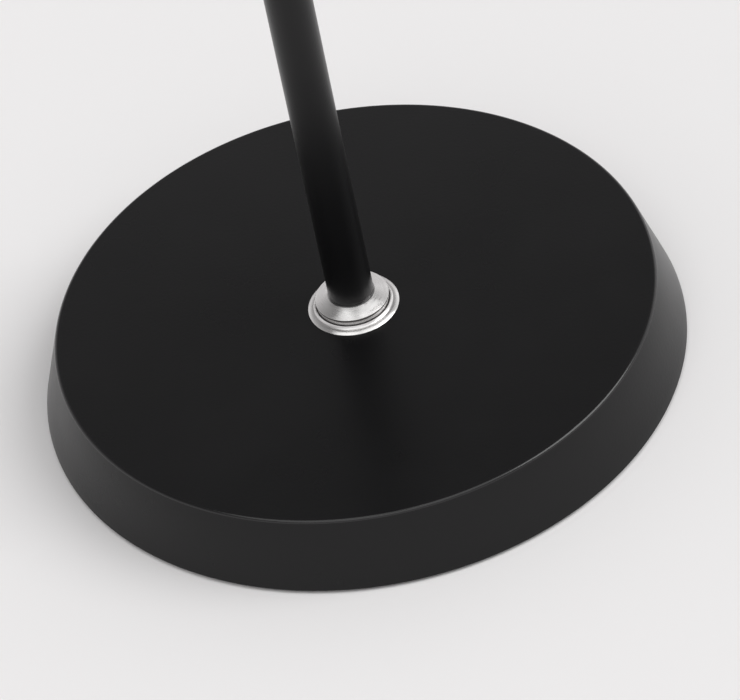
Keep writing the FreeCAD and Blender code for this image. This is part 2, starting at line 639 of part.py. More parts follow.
def make_pole():
    """Three steel tubes, the couplings between them and the bushes in their ends."""
    bush_outside = f"({TUBE_BORE} - bush_gap)"
    turned("pole_foot", [
        line_to(THREAD_RADIUS, RING_TOP),
        line_to("bush_shoulder_radius", RING_TOP),
        line_to("bush_shoulder_radius", POLE_FOOT),
        line_to(bush_outside, POLE_FOOT),
        line_to(bush_outside, f"{POLE_FOOT} + bush_length"),
        line_to(THREAD_RADIUS, f"{POLE_FOOT} + bush_length"),
    ])
    for number, name in enumerate(TUBE_NAMES):
        bottom = f"({POLE_FOOT} + {number} * tube_length)"
        top = f"({POLE_FOOT} + {number + 1} * tube_length)"
        turned(name, [
            line_to(TUBE_BORE, bottom),
            line_to("pole_radius - tube_bevel", bottom),
            line_to("pole_radius", f"{bottom} + tube_bevel"),
            line_to("pole_radius", f"{top} - tube_bevel"),
            line_to("pole_radius - tube_bevel", top),
            line_to(TUBE_BORE, top),
        ])
    for number, name in enumerate(COUPLING_NAMES, start=1):
        seam = f"({POLE_FOOT} + {number} * tube_length)"
        tube(name, bush_outside, f"({bush_outside} - coupling_wall)",
             f"({seam} - coupling_length / 2)", f"({seam} + coupling_length / 2)")
    turned("pole_bush", [
        line_to(THREAD_RADIUS, f"{POLE_TOP} - bush_length"),
        line_to(bush_outside, f"{POLE_TOP} - bush_length"),
        line_to(bush_outside, POLE_TOP),
        line_to("bush_shoulder_radius", POLE_TOP),
        line_to("bush_shoulder_radius", CAP_BASE),
        line_to(THREAD_RADIUS, CAP_BASE),
    ])
    band_top = f"({CAP_BASE} + cap_band)"
    turned("pole_cap", [
        line_to(PLAIN_HOLE, CAP_BASE),
        line_to("cap_radius - cap_bevel", CAP_BASE),
        line_to("cap_radius", f"{CAP_BASE} + cap_bevel"),
        line_to("cap_radius", f"{band_top} - cap_bevel"),
        line_to("cap_radius - cap_bevel", band_top),
        line_to("ferrule_radius", CAP_TOP),
        line_to(PLAIN_HOLE, CAP_TOP),
    ])
    tube("neck_stud", "stud_radius", "stud_bore",
         f"({CAP_BASE} - stud_reach)", f"({CAP_TOP} + stud_reach)")


# The neck is a chain of links. Each one carries a ball on its upper end that sits in the socket of
# the next, and its own origin is the centre of the ball below it.

def socket_steps(outside):
    """The open end of a link: from its bore round the socket and out to the skirt's edge."""
    mouth = f"sqrt({SOCKET_RADIUS} ^ 2 - skirt_depth ^ 2)"
    ceiling = f"sqrt({SOCKET_RADIUS} ^ 2 - neck_bore ^ 2)"
    return [
        line_to("neck_bore", ceiling),
        arc_to(mouth, "-skirt_depth", SOCKET_RADIUS, -1),
        line_to(outside, "-skirt_depth"),
    ]


def ball_steps(centre):
    """The ball end of a link: from the shoulder in to the stem, round the ball, to the bore."""
    stem_top = f"{centre} - sqrt(ball_radius ^ 2 - ball_stem ^ 2)"
    flat = "sqrt(ball_radius ^ 2 - ball_top ^ 2)"
    return [
        line_to("ball_stem", f"{centre} - shoulder_drop"),
        line_to("ball_stem", stem_top),
        arc_to(flat, f"{centre} + ball_top", "ball_radius", 1),
        line_to("neck_bore", f"{centre} + ball_top"),
    ]


def hinge_bends():
    """Degrees of bend at rest at each hinge of the neck, from the pole to the head."""
    zones = (("lower_bend", (0, 1, 0, 0)), ("middle_bend", (0, 0, 1, 0)), ("upper_bend", (0, 0, 1, 0)))
    bends = []
    for bend, sideways in zones:
        bends += [value("lean_bend" if lean else bend) for lean in sideways]
    return bends


def neck_placements():
    """The placement of each link and, last, of the head, along the arch that the neck rests in."""
    point = FreeCAD.Vector(0, 0, value(FIRST_HINGE))
    tilt = 0.0
    placements = []
    for number in range(round(value("link_count")) + 1):
        bends = hinge_bends()
        tilt += bends[number % len(bends)]
        rotation = FreeCAD.Rotation(SIDEWAYS, tilt)
        placements.append(FreeCAD.Placement(point, rotation))
        point = point + rotation.multVec(UPRIGHT) * value("link_pitch")
    return placements


def make_neck(placements):
    """Lower ferrule and links."""
    hinge = f"({FIRST_HINGE})"
    turned("neck_ferrule_lower", [
        line_to(THREAD_RADIUS, CAP_TOP),
        line_to("ferrule_radius - ferrule_bevel", CAP_TOP),
        line_to("ferrule_radius", f"{CAP_TOP} + ferrule_bevel"),
        line_to("ferrule_radius", f"{FERRULE_TOP} - ferrule_taper"),
        line_to(NECK_VALLEY, FERRULE_TOP),
    ] + ball_steps(hinge) + [
        line_to("neck_bore", f"{CAP_TOP} + stud_reach + stud_end_gap"),
        line_to(THREAD_RADIUS, f"{CAP_TOP} + stud_reach + stud_end_gap"),
    ])
    rib_length = "((link_pitch - shoulder_drop + skirt_depth) / rib_count)"
    rib_bend = f"(({rib_length} ^ 2 / 4 + rib_height ^ 2) / (2 * rib_height))"
    ribs = []
    for number in range(1, round(value("rib_count")) + 1):
        ribs.append(arc_to(NECK_VALLEY, f"{number} * {rib_length} - skirt_depth", rib_bend, 1))
    steps = socket_steps(NECK_VALLEY) + ribs + ball_steps("link_pitch")
    for number, placement in enumerate(placements[:-1], start=1):
        turned(f"neck_link_{number:02d}", steps, placement)


# The head

def make_lampholder(head):
    """Upper ferrule, stud, nut, steel cover and the lampholder with its metal parts."""
    turned("neck_ferrule_upper", socket_steps("neck_radius") + [
        line_to("neck_radius", "ferrule_taper - skirt_depth"),
        line_to("ferrule_radius", "2 * ferrule_taper - skirt_depth"),
        line_to("ferrule_radius", "ferrule_length - ferrule_bevel"),
        line_to("ferrule_radius - ferrule_bevel", "ferrule_length"),
        line_to(THREAD_RADIUS, "ferrule_length"),
        line_to(THREAD_RADIUS, "ferrule_length - stud_reach"),
        line_to("neck_bore", "ferrule_length - stud_reach"),
    ], head)
    nut_base = f"({HOLDER_TOP} + holder_cap_end)"
    tube("head_stud", "stud_radius", "stud_bore", "(ferrule_length - stud_reach + stud_end_gap)",
         f"({nut_base} + head_nut_height + stud_tail)", head)
    hex_nut("head_nut", "nut_width", "head_nut_height", nut_base, THREAD_RADIUS, head)

    cup = turned("socket_cup", [
        line_to(PLAIN_HOLE, "ferrule_length"),
        line_to("cup_radius", "ferrule_length"),
        line_to("cup_radius", SHADE_SEAT),
        line_to("cup_radius - cup_wall", SHADE_SEAT),
        line_to("cup_radius - cup_wall", HOLDER_TOP),
        line_to(PLAIN_HOLE, HOLDER_TOP),
    ], head)
    round_edges(cup, "outer_round", "cup_round", [("cup_radius", "ferrule_length")])
    round_edges(cup, "inner_round", "cup_round - cup_wall", [("cup_radius - cup_wall", HOLDER_TOP)])
    switch_side = facing(0, 0, value(SWITCH_AXIS), SIDEWAYS)
    opening = "switch_bush_radius + switch_bush_gap"
    peg(cup, "Subtractive", "switch_hole", opening, "2 * cup_radius", switch_side)
    first_vent = FreeCAD.Rotation(UPRIGHT, 180 / value("vent_count")).multVec(SIDEWAYS)
    vent_side = facing(0, 0, value("ferrule_length + vent_height"), first_vent)
    vent = peg(cup, "Subtractive", "vent", "vent_radius", "2 * cup_radius", vent_side)
    ring_pattern(cup, "vents", [vent], "vent_count")

    cap = turned("holder_cap", [
        line_to(PLAIN_HOLE, HOLDER_TOP),
        line_to("holder_radius", HOLDER_TOP),
        line_to("holder_radius", HOLDER_CHAMBER),
        line_to(CHAMBER_RADIUS, HOLDER_CHAMBER),
        line_to(CHAMBER_RADIUS, f"{HOLDER_TOP} + holder_cap_end"),
        line_to(PLAIN_HOLE, f"{HOLDER_TOP} + holder_cap_end"),
    ], head)
    round_edges(cap, "outer_round", "cup_round", [("holder_radius", HOLDER_TOP)])
    round_edges(cap, "inner_round", "cup_round - holder_wall",
                [(CHAMBER_RADIUS, f"{HOLDER_TOP} + holder_cap_end")])

    skirt_end = f"{SHADE_SEAT} + holder_skirt"
    flange_back = f"{SHADE_SEAT} - holder_flange"
    holder = turned("holder_body", [
        line_to(CHAMBER_RADIUS, HOLDER_CHAMBER),
        line_to("holder_radius", HOLDER_CHAMBER),
        line_to("holder_radius", flange_back),
        line_to("holder_flange_radius", flange_back),
        line_to("holder_flange_radius", SHADE_SEAT),
        line_to("holder_skirt_radius", SHADE_SEAT),
        line_to("holder_skirt_radius", skirt_end),
        line_to("holder_bore", skirt_end),
        line_to("holder_bore", INSULATOR_BACK),
        line_to(CHAMBER_RADIUS, INSULATOR_BACK),
    ], head)
    peg(holder, "Subtractive", "switch_hole", opening, "2 * holder_radius", switch_side)

    insulator = tube("socket_insulator", "(holder_bore - insulator_gap)", "screw_radius",
                     INSULATOR_BACK, INSULATOR_FACE, head)
    terminal_start = at(value("terminal_offset"), 0, value(f"{INSULATOR_BACK} - cut_margin"))
    terminal_hole = peg(insulator, "Subtractive", "terminal_hole", "terminal_radius + screw_gap",
                        "terminal_depth + cut_margin + screw_gap", terminal_start)
    ring_pattern(insulator, "terminal_holes", [terminal_hole], "terminal_count")
    spots = []
    for number in range(round(value("terminal_count"))):
        turn = 360 * number / round(value("terminal_count"))
        spots.append((f"terminal_offset * cos({turn})", f"terminal_offset * sin({turn})"))
    screw_set("terminal_screws", "terminal_radius", "terminal_depth", "terminal_head_radius",
              "terminal_head", INSULATOR_BACK, 1, spots, head)

    shell_outside = "(screw_shell_bore + screw_shell_wall)"
    shell_floor = f"({INSULATOR_FACE} + screw_shell_wall)"
    turned("screw_shell", [
        line_to("screw_shell_hole", INSULATOR_FACE),
        line_to(shell_outside, INSULATOR_FACE),
        line_to(shell_outside, f"{INSULATOR_FACE} + screw_shell_length"),
        line_to("screw_shell_bore", f"{INSULATOR_FACE} + screw_shell_length"),
        line_to("screw_shell_bore", shell_floor),
        line_to("screw_shell_hole", shell_floor),
    ], head)
    turned("centre_contact", [
        line_to(0, INSULATOR_FACE),
        line_to("contact_radius", INSULATOR_FACE),
        line_to("contact_radius", f"{CONTACT_TOP} - contact_cone"),
        line_to("contact_tip_radius", CONTACT_TOP),
        line_to(0, CONTACT_TOP),
    ], head)


def make_switch(head):
    """Rotary switch in the lampholder, with its bush, nut, shaft and fluted knob."""
    side = head * facing(0, 0, value(SWITCH_AXIS), SIDEWAYS)
    box = document.addObject("Part::Box", "switch_block")
    drive(box, "Length", "switch_width")
    drive(box, "Width", "switch_depth")
    drive(box, "Height", "switch_thickness")
    drive(box, "Placement.Base.x", "-switch_width / 2")
    drive(box, "Placement.Base.y", "-switch_depth / 2")
    drive(box, "Placement.Base.z", f"{SWITCH_AXIS} - switch_thickness / 2")
    bore = document.addObject("Part::Cylinder", "switch_block_hole")
    drive(bore, "Radius", "shaft_radius + shaft_gap")
    drive(bore, "Height", "shaft_inside + shaft_end_gap")
    bore_end = value("switch_width / 2 - shaft_inside - shaft_end_gap")
    bore.Placement = facing(bore_end, 0, value(SWITCH_AXIS), SIDEWAYS)
    body = sub_part("Part::Cut", "switch_body")
    body.Base = box
    body.Tool = bore
    body.Placement = head
    document.recompute()

    tube("switch_bush", "switch_bush_radius", "(shaft_radius + shaft_gap)", BUSH_START, BUSH_END, side)
    hex_nut("switch_nut", "switch_nut_width", "switch_nut_height", SWITCH_NUT_START,
            "switch_bush_radius + thread_gap", side)
    shaft_end = f"({KNOB_START} + knob_bore_depth)"
    turned("switch_shaft", [
        line_to(0, f"{BUSH_START} - shaft_inside"),
        line_to("shaft_radius", f"{BUSH_START} - shaft_inside"),
        line_to("shaft_radius", shaft_end),
        line_to(0, shaft_end),
    ], side)
    knob_end = f"({KNOB_START} + knob_length)"
    knob = turned("switch_knob", [
        line_to("shaft_radius", KNOB_START),
        line_to("knob_radius", KNOB_START),
        line_to("knob_radius", knob_end),
        line_to(0, knob_end),
        line_to(0, shaft_end),
        line_to("shaft_radius", shaft_end),
    ], side)
    round_edges(knob, "end_round", "knob_round", [("knob_radius", knob_end)])
    flute_foot = at(value("knob_radius + flute_offset"), 0, value(f"{KNOB_START} + flute_start"))
    flute = peg(knob, "Subtractive", "flute", "flute_radius", "knob_length", flute_foot)
    ring_pattern(knob, "flutes", [flute], "flute_count")


def make_shade(head):
    """Spun shade with a rolled edge, and the ring that holds it."""
    hole = "(holder_skirt_radius + shade_hole_gap)"
    spread = "(shade_mouth_radius - shade_shoulder_radius)"
    curve = f"(({spread} ^ 2 + shade_side ^ 2) / (2 * {spread}))"
    centre = f"(shade_mouth_radius - {curve})"
    inner_curve = f"({curve} - shade_wall)"
    inside_top = f"({SHADE_SEAT} + shade_wall)"
    inside_height = f"({SHADE_RIM} - {inside_top})"
    inner_shoulder = f"({centre} + sqrt({inner_curve} ^ 2 - {inside_height} ^ 2))"
    bead_middle = f"({SHADE_MOUTH} - shade_bead)"
    inner_mouth = "(shade_mouth_radius - shade_wall)"
    shade = turned("shade", [
        line_to(hole, inside_top),
        line_to(hole, SHADE_SEAT),
        line_to("shade_shoulder_radius", SHADE_SEAT),
        arc_to("shade_mouth_radius", SHADE_RIM, curve, 1),
        line_to("shade_mouth_radius", f"{bead_middle} - shade_bead"),
        arc_to("shade_mouth_radius + shade_bead", bead_middle, "shade_bead", 1),
        arc_to("shade_mouth_radius", SHADE_MOUTH, "shade_bead", 1),
        line_to(inner_mouth, SHADE_MOUTH),
        line_to(inner_mouth, SHADE_RIM),
        arc_to(inner_shoulder, inside_top, inner_curve, -1),
    ], head)
    round_edges(shade, "shoulder", "shade_shoulder_round", [("shade_shoulder_radius", SHADE_SEAT)])
    ring_bore = "(holder_skirt_radius + thread_gap)"
    hub = f"({ring_bore} + ring_wall)"
    turned("shade_ring", [
        line_to(ring_bore, inside_top),
        line_to("ring_radius", inside_top),
        line_to("ring_radius", f"{inside_top} + ring_flange"),
        line_to(hub, f"{inside_top} + ring_flange"),
        line_to(hub, f"{inside_top} + ring_height"),
        line_to(ring_bore, f"{inside_top} + ring_height"),
    ], head)


def make_bulb(head):
    """Screw-cap lamp bulb: end contact, cap, housing and globe."""
    root = "(bulb_cap_radius - bulb_thread_depth)"
    turned("bulb_contact", [
        line_to(0, CONTACT_TOP),
        line_to("contact_radius", CONTACT_TOP),
        line_to("contact_radius + bulb_tip_height", CAP_END),
        line_to(0, CAP_END),
    ], head)
    crests = []
    for number in range(round(value("bulb_thread_count"))):
        start = f"({THREAD_START} + {number} * bulb_thread_pitch)"
        crests.append(line_to("bulb_cap_radius", f"{start} + bulb_thread_pitch / 2"))
        crests.append(line_to(root, f"{start} + bulb_thread_pitch"))
    turned("bulb_cap", [
        line_to(0, CAP_END),
        line_to("contact_radius + bulb_tip_height", CAP_END),
        line_to(root, THREAD_START),
    ] + crests + [
        line_to(root, HOUSING_START),
        line_to(f"{root} - screw_shell_wall", HOUSING_START),
        line_to(f"{root} - screw_shell_wall", f"{THREAD_START} + screw_shell_wall"),
        line_to(0, f"{THREAD_START} + screw_shell_wall"),
    ], head)
    housing_floor = f"{HOUSING_START} + bulb_housing_wall"
    turned("bulb_housing", [
        line_to(0, HOUSING_START),
        line_to("bulb_cap_radius", HOUSING_START),
        arc_to("bulb_housing_radius", GLOBE_START, "bulb_housing_curve", 1),
        line_to("bulb_housing_radius - bulb_housing_wall", GLOBE_START),
        arc_to("bulb_cap_radius - bulb_housing_wall", housing_floor, "bulb_housing_curve", -1),
        line_to(0, housing_floor),
    ], head)
    widest = f"({GLOBE_START} + bulb_globe_rise)"
    top = f"({widest} + bulb_radius)"
    turned("bulb_globe", [
        line_to("bulb_housing_radius", GLOBE_START),
        arc_to("bulb_radius", widest, "bulb_globe_curve", 1),
        arc_to(0, top, "bulb_radius", 1),
        line_to(0, f"{top} - bulb_globe_wall"),
        arc_to("bulb_radius - bulb_globe_wall", widest, "bulb_radius - bulb_globe_wall", -1),
        arc_to("bulb_housing_radius - bulb_globe_wall", GLOBE_START, "bulb_globe_curve", -1),
    ], head)


def check_sound():
    """Stop on any object that failed and on any sub-part without a valid solid."""
    document.recompute()
    for item in document.Objects:
        if "Invalid" in item.State or "Error" in item.State:
            raise RuntimeError(f"{item.Label} failed: {item.State}")
    for item in sub_parts:
        if item.Shape.isNull() or not item.Shape.isValid() or not item.Shape.Solids:
            raise RuntimeError(f"{item.Label} has no valid solid")


def write_parts():
    """Write each sub-part to its own file, named for its node."""
    os.makedirs("parts", exist_ok=True)
    for item in sub_parts:
        item.Shape.exportStep(f"parts/{item.Label}.step")
        print(f"{item.Label}: {item.Shape.Volume / 1000:.2f} cm3, {len(item.Shape.Solids)} solid(s)")


def main():
    placements = neck_placements()
    head = placements[-1]
    make_base()
    make_clamp()
    make_collar()
    make_pole()
    make_neck(placements)
    make_lampholder(head)
    make_switch(head)
    make_shade(head)
    make_bulb(head)
    check_sound()
    write_parts()
    for number, placement in enumerate(placements, start=1):
        spot = placement.Base
        tilt = math.degrees(placement.Rotation.Angle)
        print(f"hinge {number}: y {spot.y:.3f} z {spot.z:.3f} tilt {tilt:.2f}")
    inlet = inlet_placement()
    print(f"cord inlet: y {inlet.Base.y:.3f} z {inlet.Base.z:.3f}")


main()
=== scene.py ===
import json
import math

import bmesh
import bpy
from bpy.props import FloatProperty, FloatVectorProperty, IntProperty, PointerProperty
from mathutils import Matrix, Vector


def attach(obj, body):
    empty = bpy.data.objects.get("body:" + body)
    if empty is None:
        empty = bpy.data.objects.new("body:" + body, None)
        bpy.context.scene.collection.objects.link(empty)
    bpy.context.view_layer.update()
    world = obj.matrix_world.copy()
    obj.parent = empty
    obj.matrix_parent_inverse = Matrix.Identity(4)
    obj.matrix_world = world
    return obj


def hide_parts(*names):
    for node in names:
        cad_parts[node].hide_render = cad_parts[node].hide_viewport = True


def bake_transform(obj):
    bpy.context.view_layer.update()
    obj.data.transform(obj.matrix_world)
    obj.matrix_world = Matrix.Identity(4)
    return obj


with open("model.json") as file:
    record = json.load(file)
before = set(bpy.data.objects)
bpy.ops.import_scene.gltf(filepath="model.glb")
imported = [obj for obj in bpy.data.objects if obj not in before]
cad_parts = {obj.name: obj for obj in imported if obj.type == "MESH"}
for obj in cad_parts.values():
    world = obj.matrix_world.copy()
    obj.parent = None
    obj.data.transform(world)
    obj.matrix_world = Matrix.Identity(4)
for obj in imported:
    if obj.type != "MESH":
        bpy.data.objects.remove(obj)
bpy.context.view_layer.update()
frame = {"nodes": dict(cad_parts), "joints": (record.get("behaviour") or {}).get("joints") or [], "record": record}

bl_info = {
    "name": "Gooseneck Reading Lamp",
    "version": (1, 0, 0),
    "blender": (4, 5, 0),
    "location": "View3D > Sidebar > Lamp",
    "description": "Finishes and fine shapes of a gooseneck floor lamp, built round its engineered frame",
    "category": "Object",
}

MM = 0.001


# Places read from the frame

JOINTS = {joint["name"]: joint for joint in frame["joints"]}
NECK_JOINTS = [joint for joint in frame["joints"] if joint["name"] != "switch_turn"]
BENDS = [Vector(joint["pos_m"]) for joint in NECK_JOINTS]
LINK_LENGTH = (BENDS[1] - BENDS[0]).length
SWITCH_SPOT = Vector(JOINTS["switch_turn"]["pos_m"])
SIDEWAYS = Vector((1, 0, 0))
UPRIGHT = Vector((0, 0, 1))


def looking_along(origin, axis):
    """The matrix that sets a piece's own Z axis along an axis, with its X axis kept sideways if it can be."""
    nearly_sideways = 0.9
    forward = axis.normalized()
    across = SIDEWAYS if abs(forward.x) < nearly_sideways else UPRIGHT
    third = forward.cross(across).normalized()
    across = third.cross(forward)
    turn = Matrix((across, third, forward)).transposed()
    return Matrix.Translation(origin) @ turn.to_4x4()


# The head's axis runs from the last bending point past the switch, in the lamp's middle plane
HEAD_CENTRE = Vector((0, SWITCH_SPOT.y, SWITCH_SPOT.z))
HEAD_AXIS = (HEAD_CENTRE - BENDS[-1]).normalized()
HEAD = looking_along(BENDS[-1], HEAD_AXIS)
KNOB = looking_along(HEAD_CENTRE, SIDEWAYS)


def reach(name, place=Matrix.Identity(4)):
    """How far a node goes along a place's Z axis, lowest and highest, and its largest radius round it."""
    inverse = place.inverted()
    points = [inverse @ vertex.co for vertex in frame["nodes"][name].data.vertices]
    heights = [point.z for point in points]
    return min(heights), max(heights), max(math.hypot(point.x, point.y) for point in points)


# Sizes and colours that a user would change

def length_setting(title, words, size):
    """A length property with its default given in millimetres."""
    return FloatProperty(name=title, description=words, default=size * MM, unit="LENGTH")


def hex_to_linear(code):
    """A colour written as sRGB hex, as the linear numbers that a shader takes."""
    channels = [int(code[start:start + 2], 16) / 255 for start in (1, 3, 5)]
    return [c / 12.92 if c <= 0.04045 else ((c + 0.055) / 1.055) ** 2.4 for c in channels]


def colour_setting(title, words, code):
    """A colour property with its default given as sRGB hex."""
    return FloatVectorProperty(name=title, description=words, subtype="COLOR", size=3, min=0, max=1,
                               default=hex_to_linear(code))


class LampBaseSizes(bpy.types.PropertyGroup):
    """Fine shape of the base and its collar."""
    corner_radius: length_setting("Corner radius", "Radius where the side would meet the flat top", 125.6)
    edge_round: length_setting("Edge rounding", "Rounding of the base's top edge", 1.5)
    sheet: length_setting("Sheet", "Thickness of the base's steel sheet", 1.2)
    hole_radius: length_setting("Stud hole", "Radius of the hole in the middle of the base", 5.2)
    inlet_hole: length_setting("Inlet hole", "Radius of the hole for the cord grommet", 5.0)
    flange_rim: length_setting("Flange rim", "Thickness of the flange where its edge turns down", 0.95)
    flange_edge: length_setting("Flange edge", "Thickness of the flange at its outermost edge", 0.12)
    flange_nose: length_setting("Flange nose", "Width of the part of the flange that turns down", 2.2)
    flange_dish: FloatProperty(name="Flange dish", description="How hollow its top is, where 1 is straight",
                               default=1.8, min=1.0)
    ring_side: length_setting("Ring side", "Height of the collar ring's upright side", 3.0)
    ring_lip: length_setting("Ring lip", "Radius where the ring's coned top ends at the pole", 9.9)
    ring_recess: length_setting("Ring recess", "How far the ring's side stands back under its top edge", 0.25)


class LampNeckSizes(bpy.types.PropertyGroup):
    """Fine shape of the flexible neck."""
    ribs_per_link: IntProperty(name="Ribs", description="Ribs between two bending points", default=9, min=2)
    rib_height: length_setting("Rib height", "Height of the ribs over the grooves", 0.75)
    rib_steps: IntProperty(name="Steps", description="Mesh rings on each rib", default=10, min=4)
    round_steps: IntProperty(name="Round steps", description="Mesh steps round the neck", default=44, min=12)
    bore: length_setting("Bore", "Inner radius of the neck", 4.6)
    ferrule_mouth: length_setting("Ferrule mouth", "From a ferrule's bending point to its mouth", 6.0)
    hidden_length: length_setting("Hidden length", "How far the neck runs on inside a ferrule", 3.0)


class LampShadeSizes(bpy.types.PropertyGroup):
    """Fine shape of the shade and the bulb."""
    shoulder_radius: length_setting("Shoulder", "Radius of the shade's flat top", 25.9)
    lip: length_setting("Lip", "Length of the straight part at the mouth", 10.0)
    sheet: length_setting("Sheet", "Thickness of the shade's spun steel", 0.8)
    bead: length_setting("Bead", "Radius of the shade's rolled edge", 1.6)
    shoulder_round: length_setting("Shoulder rounding", "Rounding of the shade's shoulder", 2.5)
    hole_radius: length_setting("Holder hole", "Radius of the shade's hole", 19.9)
    globe_radius: length_setting("Globe", "Radius of the bulb's globe", 30.0)


class LampColours(bpy.types.PropertyGroup):
    """Colours of the lamp and the stage."""
    powder_black: colour_setting("Powder black", "Powder coat of the base, pole and shade", "#0d0d0e")
    neck_black: colour_setting("Neck black", "Lacquer of the ribbed neck", "#0d0d0e")
    nickel: colour_setting("Nickel", "Bright nickel plating of the collar, cap and ferrules", "#e4e3e2")
    # Painted shade: a darker nickel put in the collar's groove and under the ring's top edge
    nickel_painted_shade: colour_setting("Nickel painted shade", "Nickel darkened in the groove and under the ring's edge: painted shade", "#6f6d6b")
    zinc: colour_setting("Zinc", "Zinc plating of nuts, washers, screws and the cover", "#b3b4b5")
    iron: colour_setting("Iron", "Cast iron of the weight", "#45423f")
    rubber: colour_setting("Rubber", "Rubber of the pad and the grommet", "#161616")
    moulded_black: colour_setting("Moulded black", "Resin of the knob, lampholder and rings", "#151516")
    brass: colour_setting("Brass", "Brass of the contacts, screw shell and switch bush", "#c8a25a")
    enamel_white: colour_setting("Enamel white", "White inside of the shade", "#e9e7e1")
    bulb_white: colour_setting("Bulb white", "White housing of the bulb", "#e6e5e0")
    globe_white: colour_setting("Globe white", "Opal globe of the bulb", "#f0efe9")
    floor: colour_setting("Floor", "Plain pale floor", "#ecebeb")
    backdrop: colour_setting("Backdrop", "Plain surroundings near the floor", "#edebec")
    high_backdrop: colour_setting("High backdrop", "Plain surroundings high up", "#7c7b7b")


class LampStageSettings(bpy.types.PropertyGroup):
    """Camera, lamps and surroundings."""
    lens: FloatProperty(name="Lens", description="Focal length on a 36 mm sensor", default=250.0,
                        unit="CAMERA")
    key: FloatProperty(name="Key", description="Light from the large softbox on the right, in W/m2",
                       default=1.33)
    top: FloatProperty(name="Top", description="Light from the large softbox overhead, in W/m2",
                       default=1.08)
    back: FloatProperty(name="Back", description="Light from the softbox behind on the right, in W/m2",
                        default=0.18)
    low_walls: FloatProperty(name="Low walls", description="How high the pale surroundings reach",
                             default=math.radians(12), subtype="ANGLE")
    high_walls: FloatProperty(name="High walls", description="Height from which the surroundings are dim",
                              default=math.radians(55), subtype="ANGLE")


# Small helpers for meshes

def rounded(corners, steps=6):
    """A closed outline of (radius, height) corners. One with a third number is rounded to that radius."""
    points = [Vector(corner[:2]) for corner in corners]
    result = []
    for number, (point, corner) in enumerate(zip(points, corners)):
        if len(corner) < 3:
            result.append(point)
            continue
        radius = corner[2]
        back = (points[number - 1] - point).normalized()
        ahead = (points[(number + 1) % len(points)] - point).normalized()
        half = back.angle(ahead) / 2
        run = radius / math.tan(half)
        centre = point + (back + ahead).normalized() * (radius / math.sin(half))
        first = point + back * run - centre
        last = point + ahead * run - centre
        sweep = first.angle_signed(last)
        for step in range(steps + 1):
            turn = Matrix.Rotation(-sweep * step / steps, 2)
            result.append(centre + turn @ first)
    return result


def arc(centre, radius, first, last, steps):
    """Points of a round stretch of an outline between two angles."""
    points = []
    for step in range(steps + 1):
        angle = first + (last - first) * step / steps
        points.append(Vector((centre[0] + radius * math.cos(angle), centre[1] + radius * math.sin(angle))))
    return points


def round_start(hole_radius, seat, side_points, radius):
    """A flat top from a hole outward, rounded into the curved side that starts at its edge."""
    shoulder, side = side_points[0], side_points[1:]
    while (side[0] - shoulder).length < radius:
        side = side[1:]
    lean = (side[0] - shoulder).normalized()
    corner = rounded([(hole_radius, seat), (*shoulder, radius), shoulder + lean * 2 * radius], steps=8)
    return corner[:-1] + side


def shade_smooth(mesh):
    """Smooth shading, with a sharp edge wherever two faces meet at a clear angle."""
    mesh.polygons.foreach_set("use_smooth", [True] * len(mesh.polygons))
    mesh.set_sharp_from_angle(angle=math.radians(32))
    mesh.update()


def new_piece(name, vertices, faces, place=Matrix.Identity(4)):
    """A mesh piece in the scene, set in its place."""
    mesh = bpy.data.meshes.new(name)
    mesh.from_pydata([tuple(vertex) for vertex in vertices], [], faces)
    mesh.validate()
    shade_smooth(mesh)
    piece = bpy.data.objects.new(name, mesh)
    bpy.context.scene.collection.objects.link(piece)
    piece.matrix_world = place
    return piece


def turned(name, outline, steps, place=Matrix.Identity(4), swell=None):
    """A closed outline of (radius, height), anticlockwise, turned once round its Z axis.

    swell(angle, radius, height) gives another radius where the piece isn't round."""
    on_axis = 1e-7
    vertices = []
    rows = []
    for radius, height in outline:
        if radius < on_axis:
            rows.append([len(vertices)] * steps)
            vertices.append((0, 0, height))
            continue
        rows.append(list(range(len(vertices), len(vertices) + steps)))
        for step in range(steps):
            angle = 2 * math.pi * step / steps
            wide = swell(angle, radius, height) if swell else radius
            vertices.append((wide * math.cos(angle), wide * math.sin(angle), height))
    faces = []
    for number, row in enumerate(rows):
        above = rows[(number + 1) % len(rows)]
        for step in range(steps):
            following = (step + 1) % steps
            corners = [row[step], row[following], above[following], above[step]]
            face = list(dict.fromkeys(corners))
            if len(face) > 2:
                faces.append(face)
    return new_piece(name, vertices, faces, place)


def drill(name, radius, depth, place):
    """A cylinder that cuts a hole along a place's Z axis, as deep on both sides of it."""
    outline = [(0, -depth), (radius, -depth), (radius, depth), (0, depth)]
    return turned(name, outline, steps=48, place=place)


def cut(piece, cutter):
    """Cut one piece out of another, remove it, and leave a closed mesh with no sliver in it."""
    modifier = piece.modifiers.new("cut", "BOOLEAN")
    modifier.operation = "DIFFERENCE"
    modifier.solver = "EXACT"
    modifier.object = cutter
    bpy.context.view_layer.update()
    evaluated = piece.evaluated_get(bpy.context.evaluated_depsgraph_get())
    mesh = bpy.data.meshes.new_from_object(evaluated)
    piece.modifiers.clear()
    piece.data = mesh
    bpy.data.objects.remove(cutter)
    sliver = 0.005 * MM
    work = bmesh.new()
    work.from_mesh(mesh)
    bmesh.ops.remove_doubles(work, verts=work.verts, dist=sliver)
    bmesh.ops.dissolve_degenerate(work, edges=work.edges, dist=sliver)
    bmesh.ops.triangulate(work, faces=[face for face in work.faces if len(face.verts) > 4])
    if any(not edge.is_manifold for edge in work.edges):
        raise RuntimeError(f"{piece.name} isn't closed after its cut")
    work.to_mesh(mesh)
    work.free()
    shade_smooth(mesh)


def dress(piece, body, material, node):
    """Give a piece its finish and its body, and hide the node that it stands for."""
    piece.data.materials.append(material)
    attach(piece, body)
    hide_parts(node)


